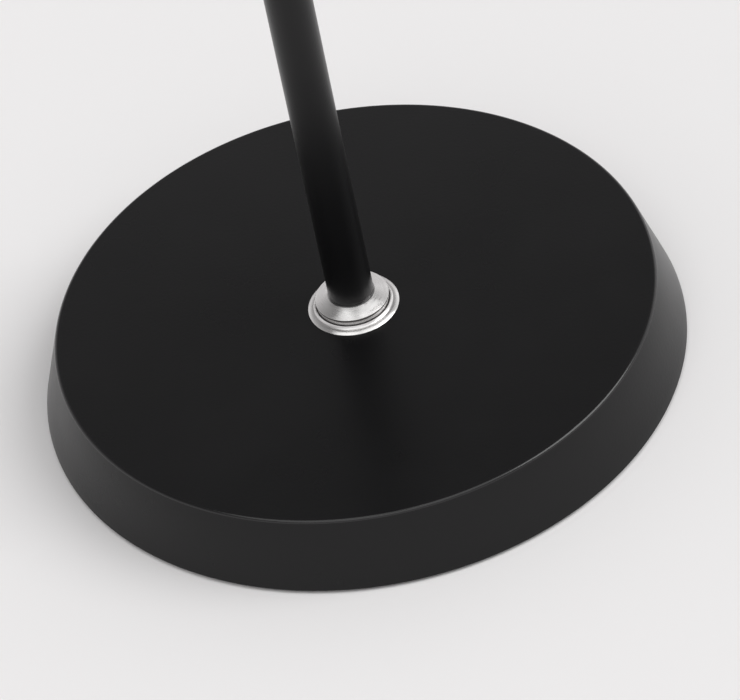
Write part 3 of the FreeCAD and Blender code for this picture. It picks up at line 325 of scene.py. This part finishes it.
def second_finish(piece, material, chosen):
    """Give another finish to the faces whose radius and height are chosen."""
    piece.data.materials.append(material)
    for polygon in piece.data.polygons:
        x, y, z = polygon.center
        if chosen(math.hypot(x, y), z):
            polygon.material_index = 1


def paint(material, *names):
    """Give a finish to nodes that keep their own shape."""
    for name in names:
        mesh = frame["nodes"][name].data
        mesh.materials.clear()
        mesh.materials.append(material)


# Materials

def add_node(tree, kind, settings=None, links=None):
    """Add a node, set its properties and sockets by name, and link outputs of other nodes to its inputs."""
    node = tree.nodes.new(kind)
    for name, value in (settings or {}).items():
        if isinstance(name, str) and hasattr(node, name):
            setattr(node, name, value)
        else:
            node.inputs[name].default_value = value
    for name, output in (links or {}).items():
        tree.links.new(output, node.inputs[name])
    return node


def new_material(name):
    """A new material, its node tree, and in it the coordinates of the piece's own frame, in metres."""
    material = bpy.data.materials.new(name)
    material.use_nodes = True
    tree = material.node_tree
    tree.nodes.clear()
    return material, tree, add_node(tree, "ShaderNodeTexCoord").outputs["Object"]


def per_metre(size):
    """The texture scale at which one feature of a pattern has this size."""
    return 1.0 / size


def powder_coat(name, colour, roughness, specular):
    """Polyester powder coat on steel, sprayed dry and baked.

    The melted powder levels out into a low orange peel, so light spreads into a soft haze with a faint
    mottle instead of a clear reflection. Real peel is 0.3 to 1 mm across, too fine to show from the camera,
    so it is drawn 1.5 mm across. The clouds of slightly different gloss are about as wide as the spray gun's
    overlap leaves them."""
    peel_size, peel_depth = 1.5 * MM, 0.07 * MM
    cloud_size, gloss_change = 45 * MM, 0.03
    material, tree, place = new_material(name)
    peel = add_node(tree, "ShaderNodeTexNoise",
                    {"Scale": per_metre(peel_size), "Detail": 3.0, "Roughness": 0.55}, {"Vector": place})
    cloud = add_node(tree, "ShaderNodeTexNoise",
                     {"Scale": per_metre(cloud_size), "Detail": 3.0, "Roughness": 0.6}, {"Vector": place})
    rough = add_node(tree, "ShaderNodeMapRange", {"From Min": 0.3, "From Max": 0.7,
                                                  "To Min": roughness - gloss_change,
                                                  "To Max": roughness + gloss_change},
                     {"Value": cloud.outputs["Fac"]})
    bump = add_node(tree, "ShaderNodeBump", {"Strength": 0.5, "Distance": peel_depth},
                    {"Height": peel.outputs["Fac"]})
    surface = add_node(tree, "ShaderNodeBsdfPrincipled",
                       {"Base Color": (*colour, 1), "Specular IOR Level": specular, "IOR": 1.5},
                       {"Roughness": rough.outputs["Result"], "Normal": bump.outputs["Normal"]})
    add_node(tree, "ShaderNodeOutputMaterial", links={"Surface": surface.outputs["BSDF"]})
    return material


def turned_nickel(name, colour, roughness):
    """Bright nickel plating over steel that was turned in a lathe and buffed.

    The tool's circles run round the piece, so the metal draws each light out across them into a bright fan
    that turns with the surface. Real circles are 0.05 to 0.1 mm apart, too fine to show, so they are drawn in
    lanes 0.7 mm wide, each a little rougher or smoother than the next."""
    lane_width, scratch_depth = 0.7 * MM, 0.02 * MM
    smoother, rougher = 0.08, 0.1
    # How much the pattern changes on the way round the piece, against 1 from each lane to the next
    change_round = 1.6
    material, tree, place = new_material(name)
    split = add_node(tree, "ShaderNodeSeparateXYZ", links={"Vector": place})
    flat = add_node(tree, "ShaderNodeVectorMath", {"operation": "MULTIPLY", 1: (1, 1, 0)}, {0: place})
    radius = add_node(tree, "ShaderNodeVectorMath", {"operation": "LENGTH"}, {0: flat.outputs["Vector"]})
    around = add_node(tree, "ShaderNodeVectorMath", {"operation": "NORMALIZE"}, {0: flat.outputs["Vector"]})
    spread = add_node(tree, "ShaderNodeVectorMath", {"operation": "SCALE", "Scale": change_round},
                      {0: around.outputs["Vector"]})
    across = add_node(tree, "ShaderNodeMath", {"operation": "ADD"},
                      {0: radius.outputs["Value"], 1: split.outputs["Z"]})
    lane = add_node(tree, "ShaderNodeMath", {"operation": "MULTIPLY", 1: per_metre(lane_width)},
                    {0: across.outputs[0]})
    lift = add_node(tree, "ShaderNodeCombineXYZ", links={"Z": lane.outputs[0]})
    stroke = add_node(tree, "ShaderNodeVectorMath", {"operation": "ADD"},
                      {0: spread.outputs["Vector"], 1: lift.outputs["Vector"]})
    rings = add_node(tree, "ShaderNodeTexNoise", {"Scale": 1.0, "Detail": 4.0, "Roughness": 0.7},
                     {"Vector": stroke.outputs["Vector"]})
    rough = add_node(tree, "ShaderNodeMapRange", {"From Min": 0.35, "From Max": 0.68,
                                                  "To Min": roughness - smoother,
                                                  "To Max": roughness + rougher},
                     {"Value": rings.outputs["Fac"]})
    bump = add_node(tree, "ShaderNodeBump", {"Strength": 0.3, "Distance": scratch_depth},
                    {"Height": rings.outputs["Fac"]})
    tangent = add_node(tree, "ShaderNodeTangent", {"direction_type": "RADIAL", "axis": "Z"})
    surface = add_node(tree, "ShaderNodeBsdfPrincipled",
                       {"Base Color": (*colour, 1), "Metallic": 1.0, "Anisotropic": 0.65,
                        "Anisotropic Rotation": 0.25},
                       {"Roughness": rough.outputs["Result"], "Normal": bump.outputs["Normal"],
                        "Tangent": tangent.outputs["Tangent"]})
    add_node(tree, "ShaderNodeOutputMaterial", links={"Surface": surface.outputs["BSDF"]})
    return material


def grained(name, roughness, grain, depth, noise, gloss_change, strength, settings):
    """A material with one even grain of a given size and depth, which shows in its gloss and its relief."""
    material, tree, place = new_material(name)
    grit = add_node(tree, "ShaderNodeTexNoise", {"Scale": per_metre(grain), **noise}, {"Vector": place})
    rough = add_node(tree, "ShaderNodeMapRange",
                     {"To Min": roughness - gloss_change, "To Max": roughness + gloss_change},
                     {"Value": grit.outputs["Fac"]})
    bump = add_node(tree, "ShaderNodeBump", {"Strength": strength, "Distance": depth},
                    {"Height": grit.outputs["Fac"]})
    surface = add_node(tree, "ShaderNodeBsdfPrincipled", settings,
                       {"Roughness": rough.outputs["Result"], "Normal": bump.outputs["Normal"]})
    add_node(tree, "ShaderNodeOutputMaterial", links={"Surface": surface.outputs["BSDF"]})
    return material


def worked_metal(name, colour, roughness, grain, depth):
    """Plain worked metal, plated, cast or machined.

    A grain of a given size and depth breaks up its shine, from the fine frost of zinc to the pits of
    sand-cast iron."""
    return grained(name, roughness, grain, depth, noise={"Detail": 4.0, "Roughness": 0.6}, gloss_change=0.08,
                   strength=0.4, settings={"Base Color": (*colour, 1), "Metallic": 1.0})


def moulded(name, colour, roughness, grain, depth, extra=None):
    """A moulded or enamelled skin: resin, rubber, opal plastic or stoved enamel.

    It is even all over, with a faint grain from the mould's spark-eroded steel or from the flow of the
    enamel, so highlights keep a soft edge. The mould's real grain of 0.1 mm doesn't show, so none is drawn
    finer than 0.35 mm."""
    return grained(name, roughness, grain, depth, noise={"Detail": 2.0}, gloss_change=0.05, strength=0.3,
                   settings={"Base Color": (*colour, 1), "IOR": 1.5, **(extra or {})})


FINISHES = {}


def finish(name):
    """One of the lamp's finishes, made when it is first asked for.

    A recipe gives the maker, colour and roughness, then the specular level of a powder coat, or the size and
    depth of another finish's grain."""
    if name in FINISHES:
        return FINISHES[name]
    colours = bpy.context.scene.lamp_colours
    recipes = {
        # Powder on pressed and spun sheet: black with a broad, soft grey sheen where it faces a light
        "matt powder coated steel": (powder_coat, colours.powder_black, 0.29, 0.28),
        # The powder pulls thin over a bent edge and is rubbed smooth there: the edge draws a bright line
        "rubbed powder coated edge": (powder_coat, colours.powder_black, 0.15, 0.55),
        # The same powder on drawn tube, which is smoother: one clearer streak of light down its length
        "satin powder coated tube": (powder_coat, colours.powder_black, 0.31, 0.31),
        # Stoved lacquer on wound strip: a thinner, tighter film, so each rib carries its own small glint
        "lacquered steel strip": (powder_coat, colours.neck_black, 0.28, 0.35),
        # Dipped and stoved enamel: flows out almost flat and looks wet, with a sharp thin highlight
        "glossy black enamel": (moulded, colours.moulded_black, 0.14, 1.2 * MM, 0.004 * MM,
                                {"Specular IOR Level": 0.25}),
        # Turned, buffed and plated: bright and slightly warm, streaked round the piece
        "nickel plated steel": (turned_nickel, colours.nickel, 0.3),
        # The same plating made grey and dull in the collar's groove and under the ring's top edge: the grey is
        # painted shade, so bright edges stand out
        "unpolished nickel": (turned_nickel, colours.nickel_painted_shade, 0.4),
        # Barrel plated and passivated: a cool pale grey with a fine frost
        "zinc plated steel": (worked_metal, colours.zinc, 0.38, 0.6 * MM, 0.01 * MM),
        # Poured in sand, whose grains of up to 0.5 mm leave pits of 1.5 mm: dark, rough and dull
        "cast iron": (worked_metal, colours.iron, 0.7, 1.5 * MM, 0.15 * MM),
        # Drawn and machined, left bare: yellow with a soft shine
        "brass": (worked_metal, colours.brass, 0.3, 0.5 * MM, 0.006 * MM),
        # Cured in a plain mould: near black, with almost no highlight
        "rubber": (moulded, colours.rubber, 0.75, 0.5 * MM, 0.03 * MM),
        # Pressed hot in a polished mould: deep black with a soft hard-plastic shine
        "moulded phenolic resin": (moulded, colours.moulded_black, 0.32, 0.35 * MM, 0.008 * MM),
        # Sprayed and stoved white inside the shade: warm white that throws light back softly
        "white enamel": (moulded, colours.enamel_white, 0.4, 0.9 * MM, 0.012 * MM),
        # Injection moulded: plain white with a faint satin
        "white polycarbonate": (moulded, colours.bulb_white, 0.35, 0.4 * MM, 0.006 * MM),
        # Blow moulded with a white filler: light sinks in about 4 mm, so its shading is milky and soft
        "opal polycarbonate": (moulded, colours.globe_white, 0.42, 0.4 * MM, 0.004 * MM,
                               {"Subsurface Weight": 0.35, "Subsurface Scale": 4 * MM,
                                "Subsurface Radius": (1.0, 0.95, 0.9)}),
    }
    maker, *values = recipes[name]
    FINISHES[name] = maker(name, *values)
    return FINISHES[name]


# Operators that make the pieces

class LAMP_OT_base(bpy.types.Operator):
    """Make the base's shell and finish its soft ring, grommet, cover, weight and fasteners"""
    bl_idname = "lamp.base"
    bl_label = "Base"

    def execute(self, context):
        sizes = context.scene.lamp_base
        edge, top, radius = reach("base_shell")
        steepness = (radius - sizes.corner_radius) / (top - edge)
        slope_sheet = sizes.sheet * math.hypot(1, steepness)
        underside = top - sizes.sheet
        inner_top = radius - (underside - edge) * steepness - slope_sheet
        hem = 0.45 * sizes.sheet
        # Rows of vertices from 3 to 12 twentieths of the way up the side keep the faces at its hole small
        lip = Vector((radius, edge))
        slope = Vector((sizes.corner_radius, top)) - lip
        outer_rows = [tuple(lip + slope * share / 20) for share in range(3, 13)]
        inner_rows = [(x - slope_sheet, z) for x, z in reversed(outer_rows)]
        outline = rounded([
            (radius, edge, hem),
            *outer_rows,
            (sizes.corner_radius, top, sizes.edge_round),
            (sizes.hole_radius, top),
            (sizes.hole_radius, underside),
            (inner_top, underside, sizes.edge_round - sizes.sheet),
            *inner_rows,
            (radius - slope_sheet, edge, hem),
        ], steps=10)
        shell = turned("base_cover_shell", outline, steps=360)
        inlet = next(mount for mount in frame["record"]["mounts"] if mount["name"] == "cord_inlet")
        inlet_place = looking_along(Vector(inlet["pos_m"]), Vector(inlet["axis"]))
        drill_depth = 5 * MM
        cut(shell, drill("inlet_drill", sizes.inlet_hole, drill_depth, inlet_place))
        dress(shell, "stand", finish("matt powder coated steel"), "base_shell")
        bend_start = sizes.corner_radius - 2 * sizes.edge_round
        second_finish(shell, finish("rubbed powder coated edge"),
                      lambda radius, height: radius > bend_start and height > underside)
        paint(finish("rubber"), "base_pad", "cord_grommet")
        paint(finish("cast iron"), "base_weight")
        paint(finish("zinc plated steel"), "base_plate", "plate_screws", "clamp_washer", "lock_washer",
              "clamp_nut", "base_stud")
        return {"FINISHED"}


class LAMP_OT_collar(bpy.types.Operator):
    """Make the dished flange and the coned ring where the pole meets the base"""
    bl_idname = "lamp.collar"
    bl_label = "Collar"

    def execute(self, context):
        sizes = context.scene.lamp_base
        seat, flange_top, flange_radius = reach("collar_flange")
        ring_base, ring_top, ring_radius = reach("collar_ring")
        bore = sizes.hole_radius
        recess = sizes.ring_recess
        side_radius = ring_radius - recess
        groove = ring_radius + recess
        groove_floor = flange_top - 2 * recess
        rim = seat + sizes.flange_rim
        steps = 12
        # The edge turns down in a parabola, and the top rises from there to the groove in a hollow curve
        outline = [(flange_radius, seat)]
        for step in range(steps + 1):
            share = step / steps
            drop = (sizes.flange_rim - sizes.flange_edge) * (1 - share) ** 2
            outline.append((flange_radius - sizes.flange_nose * share, rim - drop))
        start = Vector(outline[-1])
        slope = Vector((groove, flange_top)) - start
        for step in range(1, steps):
            share = step / steps
            outline.append((start.x + slope.x * share, start.y + slope.y * share ** sizes.flange_dish))
        outline += [(groove, flange_top), (groove, groove_floor), (side_radius, groove_floor),
                    (side_radius, flange_top), (bore, flange_top), (bore, seat)]
        flange = turned("collar_dished_flange", outline, steps=240)
        dress(flange, "stand", finish("nickel plated steel"), "collar_flange")
        # Painted shade on the groove's two walls and its floor, with a millimetre to spare
        second_finish(flange, finish("unpolished nickel"), lambda radius, height:
                      side_radius - MM < radius < groove and groove_floor - MM < height < flange_top)
        side_top = ring_base + sizes.ring_side
        undercut = side_top - 5 * recess
        undercut_top = side_top - recess
        outline = rounded([
            (bore, ring_base),
            (side_radius, ring_base),
            (side_radius, undercut),
            (side_radius, side_top - 2 * recess),
            (ring_radius, undercut_top),
            (ring_radius, side_top, 0.15 * MM),
            (sizes.ring_lip, ring_top, 0.2 * MM),
            (bore, ring_top),
        ])
        ring = turned("collar_coned_ring", outline, steps=240)
        dress(ring, "stand", finish("nickel plated steel"), "collar_ring")
        # Painted shade on the ring's side under its top edge
        second_finish(ring, finish("unpolished nickel"), lambda radius, height:
                      0 < radius < ring_radius and undercut < height < undercut_top)
        return {"FINISHED"}


class LAMP_OT_pole(bpy.types.Operator):
    """Make the pole's three tubes and its bright cap, and finish what joins them"""
    bl_idname = "lamp.pole"
    bl_label = "Pole"

    def execute(self, context):
        bore, end_round = 8.3 * MM, 0.6 * MM
        for name in ("pole_lower", "pole_middle", "pole_upper"):
            low, high, radius = reach(name)
            outline = [(bore, low), (radius, low, end_round), (radius, high, end_round), (bore, high)]
            tube = turned(name.replace("pole", "tube"), rounded(outline), steps=160)
            dress(tube, "stand", finish("satin powder coated tube"), name)
        low, high, radius = reach("pole_cap")
        band_top = low + 6.0 * MM
        ferrule_seat = reach("neck_ferrule_lower")[2] + 0.2 * MM
        stud_hole = context.scene.lamp_base.hole_radius
        outline = rounded([
            (stud_hole, low),
            (radius, low, 0.7 * MM),
            (radius, band_top, 0.9 * MM),
            (ferrule_seat, high, 0.4 * MM),
            (stud_hole, high),
        ])
        cap = turned("pole_end_cap", outline, steps=160)
        dress(cap, "stand", finish("nickel plated steel"), "pole_cap")
        paint(finish("glossy black enamel"), "pole_foot")
        paint(finish("zinc plated steel"), "pole_bush", "coupling_lower", "coupling_upper", "neck_stud")
        return {"FINISHED"}


def link_directions():
    """The direction of the neck before and after each bending point."""
    directions = [UPRIGHT]
    for here, following in zip(BENDS, BENDS[1:]):
        directions.append((following - here).normalized())
    directions.append(HEAD_AXIS)
    return directions


def hose_line(bend, before, after, length_before, length_after, round_run, steps):
    """Points and directions along the neck past a bending point: straight, round an arc, and straight."""
    start = bend - before * length_before
    total = length_before + length_after
    turn = before.angle(after)
    normal = before.cross(after).normalized()
    radius = round_run / math.tan(turn / 2)
    inward = normal.cross(before)
    centre = bend - before * round_run + inward * radius
    line = []
    for step in range(steps + 1):
        run = total * step / steps
        if run <= length_before - round_run:
            line.append((start + before * run, before))
        elif run >= length_before + round_run:
            line.append((bend + after * (run - length_before), after))
        else:
            angle = turn * (run - length_before + round_run) / (2 * round_run)
            spin = Matrix.Rotation(angle, 3, normal)
            line.append((centre - spin @ inward * radius, spin @ before))
    return line


class LAMP_OT_neck(bpy.types.Operator):
    """Make the ribbed neck, curved at each bending point, and its two ferrules"""
    bl_idname = "lamp.neck"
    bl_label = "Neck"

    def hose(self, sizes, number, radius, pitch, first_phase, lengths, directions):
        """One stretch of neck over a bending point, ribbed by one unbroken helix."""
        # Under 1, so the ribs are full and the grooves between them narrow
        fullness = 0.75
        total = sum(lengths)
        rings = round(total / pitch * sizes.rib_steps)
        round_run = min(lengths)
        line = hose_line(BENDS[number], *directions, *lengths, round_run, rings)
        valley = radius - sizes.rib_height
        around = sizes.round_steps
        outside = []
        inside = []
        for ring, (point, direction) in enumerate(line):
            third = direction.cross(SIDEWAYS).normalized()
            phase_here = first_phase + total * ring / rings / pitch
            for step in range(around):
                angle = 2 * math.pi * step / around
                outward = SIDEWAYS * math.cos(angle) + third * math.sin(angle)
                swell = math.sin(math.pi * ((phase_here - step / around) % 1.0)) ** fullness
                outside.append(point + outward * (valley + sizes.rib_height * swell))
                inside.append(point + outward * sizes.bore)
        outer_count = len(outside)
        last = rings * around
        faces = []
        for ring in range(rings):
            for step in range(around):
                following = (step + 1) % around
                low, high = ring * around, (ring + 1) * around
                faces.append((low + step, low + following, high + following, high + step))
                low, high = low + outer_count, high + outer_count
                faces.append((low + following, low + step, high + step, high + following))
        for step in range(around):
            following = (step + 1) % around
            faces.append((following, step, outer_count + step, outer_count + following))
            faces.append((last + step, last + following, outer_count + last + following,
                          outer_count + last + step))
        piece = new_piece(f"neck_hose_{number + 1:02d}", outside + inside, faces)
        # Only the rims of the two ends are sharp
        for edge in piece.data.edges:
            ends = [index % outer_count for index in edge.vertices]
            edge.use_edge_sharp = max(ends) < around or min(ends) >= last
        return piece

    def ferrule(self, name, node, place, mouth, end, outer, radius, body):
        """A bright ferrule, from the mouth that the neck comes out of, past a turned groove, to its end."""
        clearance, seat = 0.3 * MM, 4.0 * MM
        chamfer_width, chamfer_height = 0.6 * MM, 1.2 * MM
        groove, groove_place = 0.35 * MM, 3.0 * MM
        bore = 0.6 * outer
        inwards = 1 if end > mouth else -1
        band = end - inwards * groove_place
        points = [
            (radius + clearance, mouth + inwards * seat),
            (radius + clearance, mouth),
            (outer - chamfer_width, mouth),
            (outer, mouth + inwards * chamfer_height),
            (outer, band - inwards * groove),
            (outer - groove, band),
            (outer, band + inwards * groove),
            (outer, end),
            (bore, end),
            (bore, mouth + inwards * seat),
        ]
        if inwards < 0:
            points.reverse()
        piece = turned(name, points, steps=128, place=place)
        dress(piece, body, finish("nickel plated steel"), node)

    def execute(self, context):
        sizes = context.scene.lamp_neck
        directions = link_directions()
        half = LINK_LENGTH / 2
        end_run = sizes.ferrule_mouth + sizes.hidden_length
        radius = reach("neck_link_01", looking_along(BENDS[0], directions[1]))[2]
        pitch = LINK_LENGTH / sizes.ribs_per_link
        last = len(BENDS) - 1
        phase = 0.0
        for number, bend in enumerate(BENDS):
            lengths = (end_run if number == 0 else half, end_run if number == last else half)
            before, after = directions[number:number + 2]
            piece = self.hose(sizes, number, radius, pitch, phase, lengths, (before, after))
            phase += sum(lengths) / pitch
            piece.data.materials.append(finish("lacquered steel strip"))
            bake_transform(piece)
            if number < last:
                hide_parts(f"neck_link_{number + 1:02d}")
        mouth = BENDS[0].z - sizes.ferrule_mouth
        end, _, outer = reach("neck_ferrule_lower")
        self.ferrule("ferrule_pole_end", "neck_ferrule_lower", Matrix.Identity(4), mouth, end, outer,
                     radius, "stand")
        _, end, outer = reach("neck_ferrule_upper", HEAD)
        self.ferrule("ferrule_head_end", "neck_ferrule_upper", HEAD, sizes.ferrule_mouth, end, outer,
                     radius, "head")
        return {"FINISHED"}


class LAMP_OT_lampholder(bpy.types.Operator):
    """Finish the lampholder, its steel cover, its metal parts and the shade's ring"""
    bl_idname = "lamp.lampholder"
    bl_label = "Lampholder"

    def execute(self, context):
        paint(finish("matt powder coated steel"), "socket_cup")
        paint(finish("moulded phenolic resin"), "holder_cap", "holder_body", "socket_insulator", "shade_ring")
        paint(finish("brass"), "terminal_screws", "screw_shell", "centre_contact")
        paint(finish("zinc plated steel"), "head_stud", "head_nut")
        return {"FINISHED"}


class LAMP_OT_switch(bpy.types.Operator):
    """Make the fluted switch knob and finish the switch's other parts"""
    bl_idname = "lamp.switch"
    bl_label = "Switch"

    def execute(self, context):
        low, high, radius = reach("switch_knob", KNOB)
        _, shaft_end, shaft_radius = reach("switch_shaft", KNOB)
        flutes, steps_per_flute = 14, 16
        flute_depth, run_out, sharpness = 0.7 * MM, 1.0 * MM, 1.5
        skirt, row = 2.4 * MM, 0.25 * MM
        taper, dimple = 0.25 * MM, 0.3 * MM
        plain_end, dimple_edge, dimple_floor = 0.8 * radius, 0.55 * radius, 0.5 * radius

        def fluted(angle, here, height):
            """The knob's radius: plain at its skirt and on the middle of its end, and fluted elsewhere."""
            if here < plain_end or height < low + skirt:
                return here
            ease = min(1.0, (height - low - skirt) / run_out)
            wave = max(0.0, math.cos(flutes * angle)) ** sharpness
            return here - flute_depth * ease * wave

        outline = rounded([
            (shaft_radius, low),
            (radius, low, 0.5 * MM),
            *((radius, low + skirt + step * row) for step in range(6)),
            (radius - taper, high, 1.3 * MM),
            (dimple_edge, high),
            (dimple_floor, high - dimple),
            (0, high - dimple),
            (0, shaft_end),
            (shaft_radius, shaft_end),
        ])
        knob = turned("switch_turn_knob", outline, flutes * steps_per_flute, KNOB, fluted)
        dress(knob, "knob", finish("moulded phenolic resin"), "switch_knob")
        paint(finish("brass"), "switch_shaft", "switch_bush")
        paint(finish("nickel plated steel"), "switch_nut")
        paint(finish("moulded phenolic resin"), "switch_body")
        return {"FINISHED"}


class LAMP_OT_shade(bpy.types.Operator):
    """Make the spun shade, black outside and white inside, with its rolled edge"""
    bl_idname = "lamp.shade"
    bl_label = "Shade"

    def execute(self, context):
        sizes = context.scene.lamp_shade
        seat, mouth, widest = reach("shade", HEAD)
        mouth_radius = widest - sizes.bead
        rim = mouth - sizes.lip
        side = rim - seat
        flare = mouth_radius - sizes.shoulder_radius
        # The side is one arc that meets the straight lip without a corner
        curve = (flare ** 2 + side ** 2) / (2 * flare)
        centre = (mouth_radius - curve, rim)
        side_points = arc(centre, curve, -math.asin(side / curve), 0, steps=48)
        outside = round_start(sizes.hole_radius, seat, side_points, sizes.shoulder_round)
        outside.append(Vector((mouth_radius, mouth - 2 * sizes.bead)))
        bead = arc((mouth_radius, mouth - sizes.bead), sizes.bead, -math.pi / 2, math.pi / 2, steps=14)
        inner_mouth, inner_end = mouth_radius - sizes.sheet, mouth - 0.3 * MM
        inner_curve = curve - sizes.sheet
        inner_seat = seat + sizes.sheet
        inner_start = math.asin((rim - inner_seat) / inner_curve)
        inside = [
            Vector((inner_mouth, inner_end)),
            Vector((inner_mouth, rim)),
            *arc(centre, inner_curve, 0, -inner_start, steps=40)[1:],
            Vector((sizes.hole_radius, inner_seat)),
        ]
        outline = outside + bead[1:] + inside
        steps = 240
        shade = turned("spun_shade", outline, steps)
        shade.data.transform(HEAD)
        dress(shade, "head", finish("matt powder coated steel"), "shade")
        shade.data.materials.append(finish("white enamel"))
        # A mesh that was turned has its faces row by row, and the white starts past the bead
        white_rows = range(len(outside) + len(bead) - 2, len(outline) - 1)
        for polygon in shade.data.polygons:
            if polygon.index // steps in white_rows:
                polygon.material_index = 1
        return {"FINISHED"}


class LAMP_OT_bulb(bpy.types.Operator):
    """Make the bulb's globe and finish its housing, screw cap and contact"""
    bl_idname = "lamp.bulb"
    bl_label = "Bulb"

    def execute(self, context):
        radius = context.scene.lamp_shade.globe_radius
        start, tip, _ = reach("bulb_globe", HEAD)
        wall = 1.5 * MM
        neck_curve = 60 * MM
        widest = tip - radius
        lean = math.asin((widest - start) / neck_curve)
        lower = arc((radius - neck_curve, widest), neck_curve, -lean, 0, steps=16)
        dome = arc((0, widest), radius, 0, math.pi / 2, steps=28)
        inner = arc((0, widest), radius - wall, math.pi / 2, 0, steps=20)
        outline = [*lower, *dome[1:-1], (0, tip), (0, tip - wall), *inner[1:], (lower[0].x - wall, start)]
        globe = turned("bulb_opal_globe", outline, steps=128, place=HEAD)
        dress(globe, "head", finish("opal polycarbonate"), "bulb_globe")
        paint(finish("white polycarbonate"), "bulb_housing")
        paint(finish("zinc plated steel"), "bulb_cap")
        paint(finish("brass"), "bulb_contact")
        return {"FINISHED"}


class LAMP_OT_stage(bpy.types.Operator):
    """Make the floor, the surroundings, the soft lamps and the camera"""
    bl_idname = "lamp.stage"
    bl_label = "Stage"

    def floor(self, colours):
        """A plain pale floor that keeps the lamp's shadow: matt paint, rolled on, with faint wide scuffs."""
        half, scuff_size = 40.0, 220 * MM
        corners = [(-half, -half, 0), (half, -half, 0), (half, half, 0), (-half, half, 0)]
        floor = new_piece("studio_floor", corners, [(0, 1, 2, 3)])
        material, tree, place = new_material("painted studio floor")
        scuff = add_node(tree, "ShaderNodeTexNoise", {"Scale": per_metre(scuff_size), "Detail": 3.0},
                         {"Vector": place})
        rough = add_node(tree, "ShaderNodeMapRange", {"To Min": 0.6, "To Max": 0.72},
                         {"Value": scuff.outputs["Fac"]})
        surface = add_node(tree, "ShaderNodeBsdfPrincipled",
                           {"Base Color": (*colours.floor, 1), "Specular IOR Level": 0.2},
                           {"Roughness": rough.outputs["Result"]})
        add_node(tree, "ShaderNodeOutputMaterial", links={"Surface": surface.outputs["BSDF"]})
        floor.data.materials.append(material)

    def surroundings(self, context, settings, colours):
        """Plain surroundings: as pale as the floor where they meet it, and dimmer high up."""
        world = bpy.data.worlds.new("studio")
        context.scene.world = world
        world.use_nodes = True
        tree = world.node_tree
        tree.nodes.clear()
        direction = add_node(tree, "ShaderNodeTexCoord").outputs["Generated"]
        height = add_node(tree, "ShaderNodeSeparateXYZ", links={"Vector": direction}).outputs["Z"]
        rise = add_node(tree, "ShaderNodeMapRange",
                        {"interpolation_type": "SMOOTHSTEP", "From Min": math.sin(settings.low_walls),
                         "From Max": math.sin(settings.high_walls)}, {"Value": height})
        # The Mix node's colours are its inputs 6 and 7 and its output 2
        tone = add_node(tree, "ShaderNodeMix", {"data_type": "RGBA", 6: (*colours.backdrop, 1),
                                                7: (*colours.high_backdrop, 1)}, {0: rise.outputs["Result"]})
        plain = add_node(tree, "ShaderNodeBackground", {"Strength": 1.0}, {"Color": tone.outputs[2]})
        add_node(tree, "ShaderNodeOutputWorld", links={"Surface": plain.outputs["Background"]})

    def softbox(self, name, azimuth, elevation, width, strength):
        """A large soft lamp far off, which lights the whole floor evenly. Its angles are in degrees."""
        light = bpy.data.lights.new(name, "SUN")
        light.angle = math.radians(width)
        light.energy = strength
        lamp = bpy.data.objects.new(name, light)
        bpy.context.scene.collection.objects.link(lamp)
        turn, rise = math.radians(azimuth), math.radians(elevation)
        towards = Vector((math.cos(turn) * math.cos(rise), math.sin(turn) * math.cos(rise), math.sin(rise)))
        lamp.rotation_euler = (-towards).to_track_quat("-Z", "Y").to_euler()

    def camera(self, context, settings):
        """The camera high in front, looking down at the base, tipped to its side as in the photograph."""
        place = (2.58 * MM, -1579.26 * MM, 1447.42 * MM)
        right = Vector((0.97776, -0.14147, -0.15484))
        up = Vector((0.20974, 0.65952, 0.72184))
        data = bpy.data.cameras.new("camera")
        data.lens = settings.lens
        data.sensor_width = 36.0
        data.clip_end = 100.0
        camera = bpy.data.objects.new("camera", data)
        context.scene.collection.objects.link(camera)
        turn = Matrix((right, up, right.cross(up))).transposed()
        camera.matrix_world = Matrix.Translation(place) @ turn.to_4x4()
        context.scene.camera = camera

    def execute(self, context):
        settings = context.scene.lamp_stage
        colours = context.scene.lamp_colours
        context.scene.view_settings.view_transform = "Standard"
        self.floor(colours)
        self.surroundings(context, settings, colours)
        self.softbox("key_softbox", -8, 45, 42, settings.key)
        self.softbox("top_softbox", -100, 70, 66, settings.top)
        self.softbox("back_softbox", 35, 25, 50, settings.back)
        self.camera(context, settings)
        return {"FINISHED"}


class LAMP_PT_panel(bpy.types.Panel):
    """The lamp's operators and settings"""
    bl_idname = "LAMP_PT_panel"
    bl_label = "Gooseneck Lamp"
    bl_space_type = "VIEW_3D"
    bl_region_type = "UI"
    bl_category = "Lamp"

    def draw(self, context):
        column = self.layout.column()
        for operator in OPERATORS:
            column.operator(operator.bl_idname)
        for group in SETTINGS:
            column.separator()
            settings = getattr(context.scene, group)
            for name in settings.bl_rna.properties.keys():
                if name not in ("rna_type", "name"):
                    column.prop(settings, name)


SETTINGS = {
    "lamp_base": LampBaseSizes,
    "lamp_neck": LampNeckSizes,
    "lamp_shade": LampShadeSizes,
    "lamp_colours": LampColours,
    "lamp_stage": LampStageSettings,
}
OPERATORS = (LAMP_OT_base, LAMP_OT_collar, LAMP_OT_pole, LAMP_OT_neck, LAMP_OT_lampholder, LAMP_OT_switch,
             LAMP_OT_shade, LAMP_OT_bulb, LAMP_OT_stage)


def register():
    for group in SETTINGS.values():
        bpy.utils.register_class(group)
    for name, group in SETTINGS.items():
        setattr(bpy.types.Scene, name, PointerProperty(type=group))
    for operator in OPERATORS:
        bpy.utils.register_class(operator)
    bpy.utils.register_class(LAMP_PT_panel)


def unregister():
    bpy.utils.unregister_class(LAMP_PT_panel)
    for operator in reversed(OPERATORS):
        bpy.utils.unregister_class(operator)
    for name in SETTINGS:
        delattr(bpy.types.Scene, name)
    for group in reversed(SETTINGS.values()):
        bpy.utils.unregister_class(group)


def main():
    register()
    for operator in OPERATORS:
        group, name = operator.bl_idname.split(".")
        getattr(getattr(bpy.ops, group), name)()


if __name__ == "__main__":
    main()
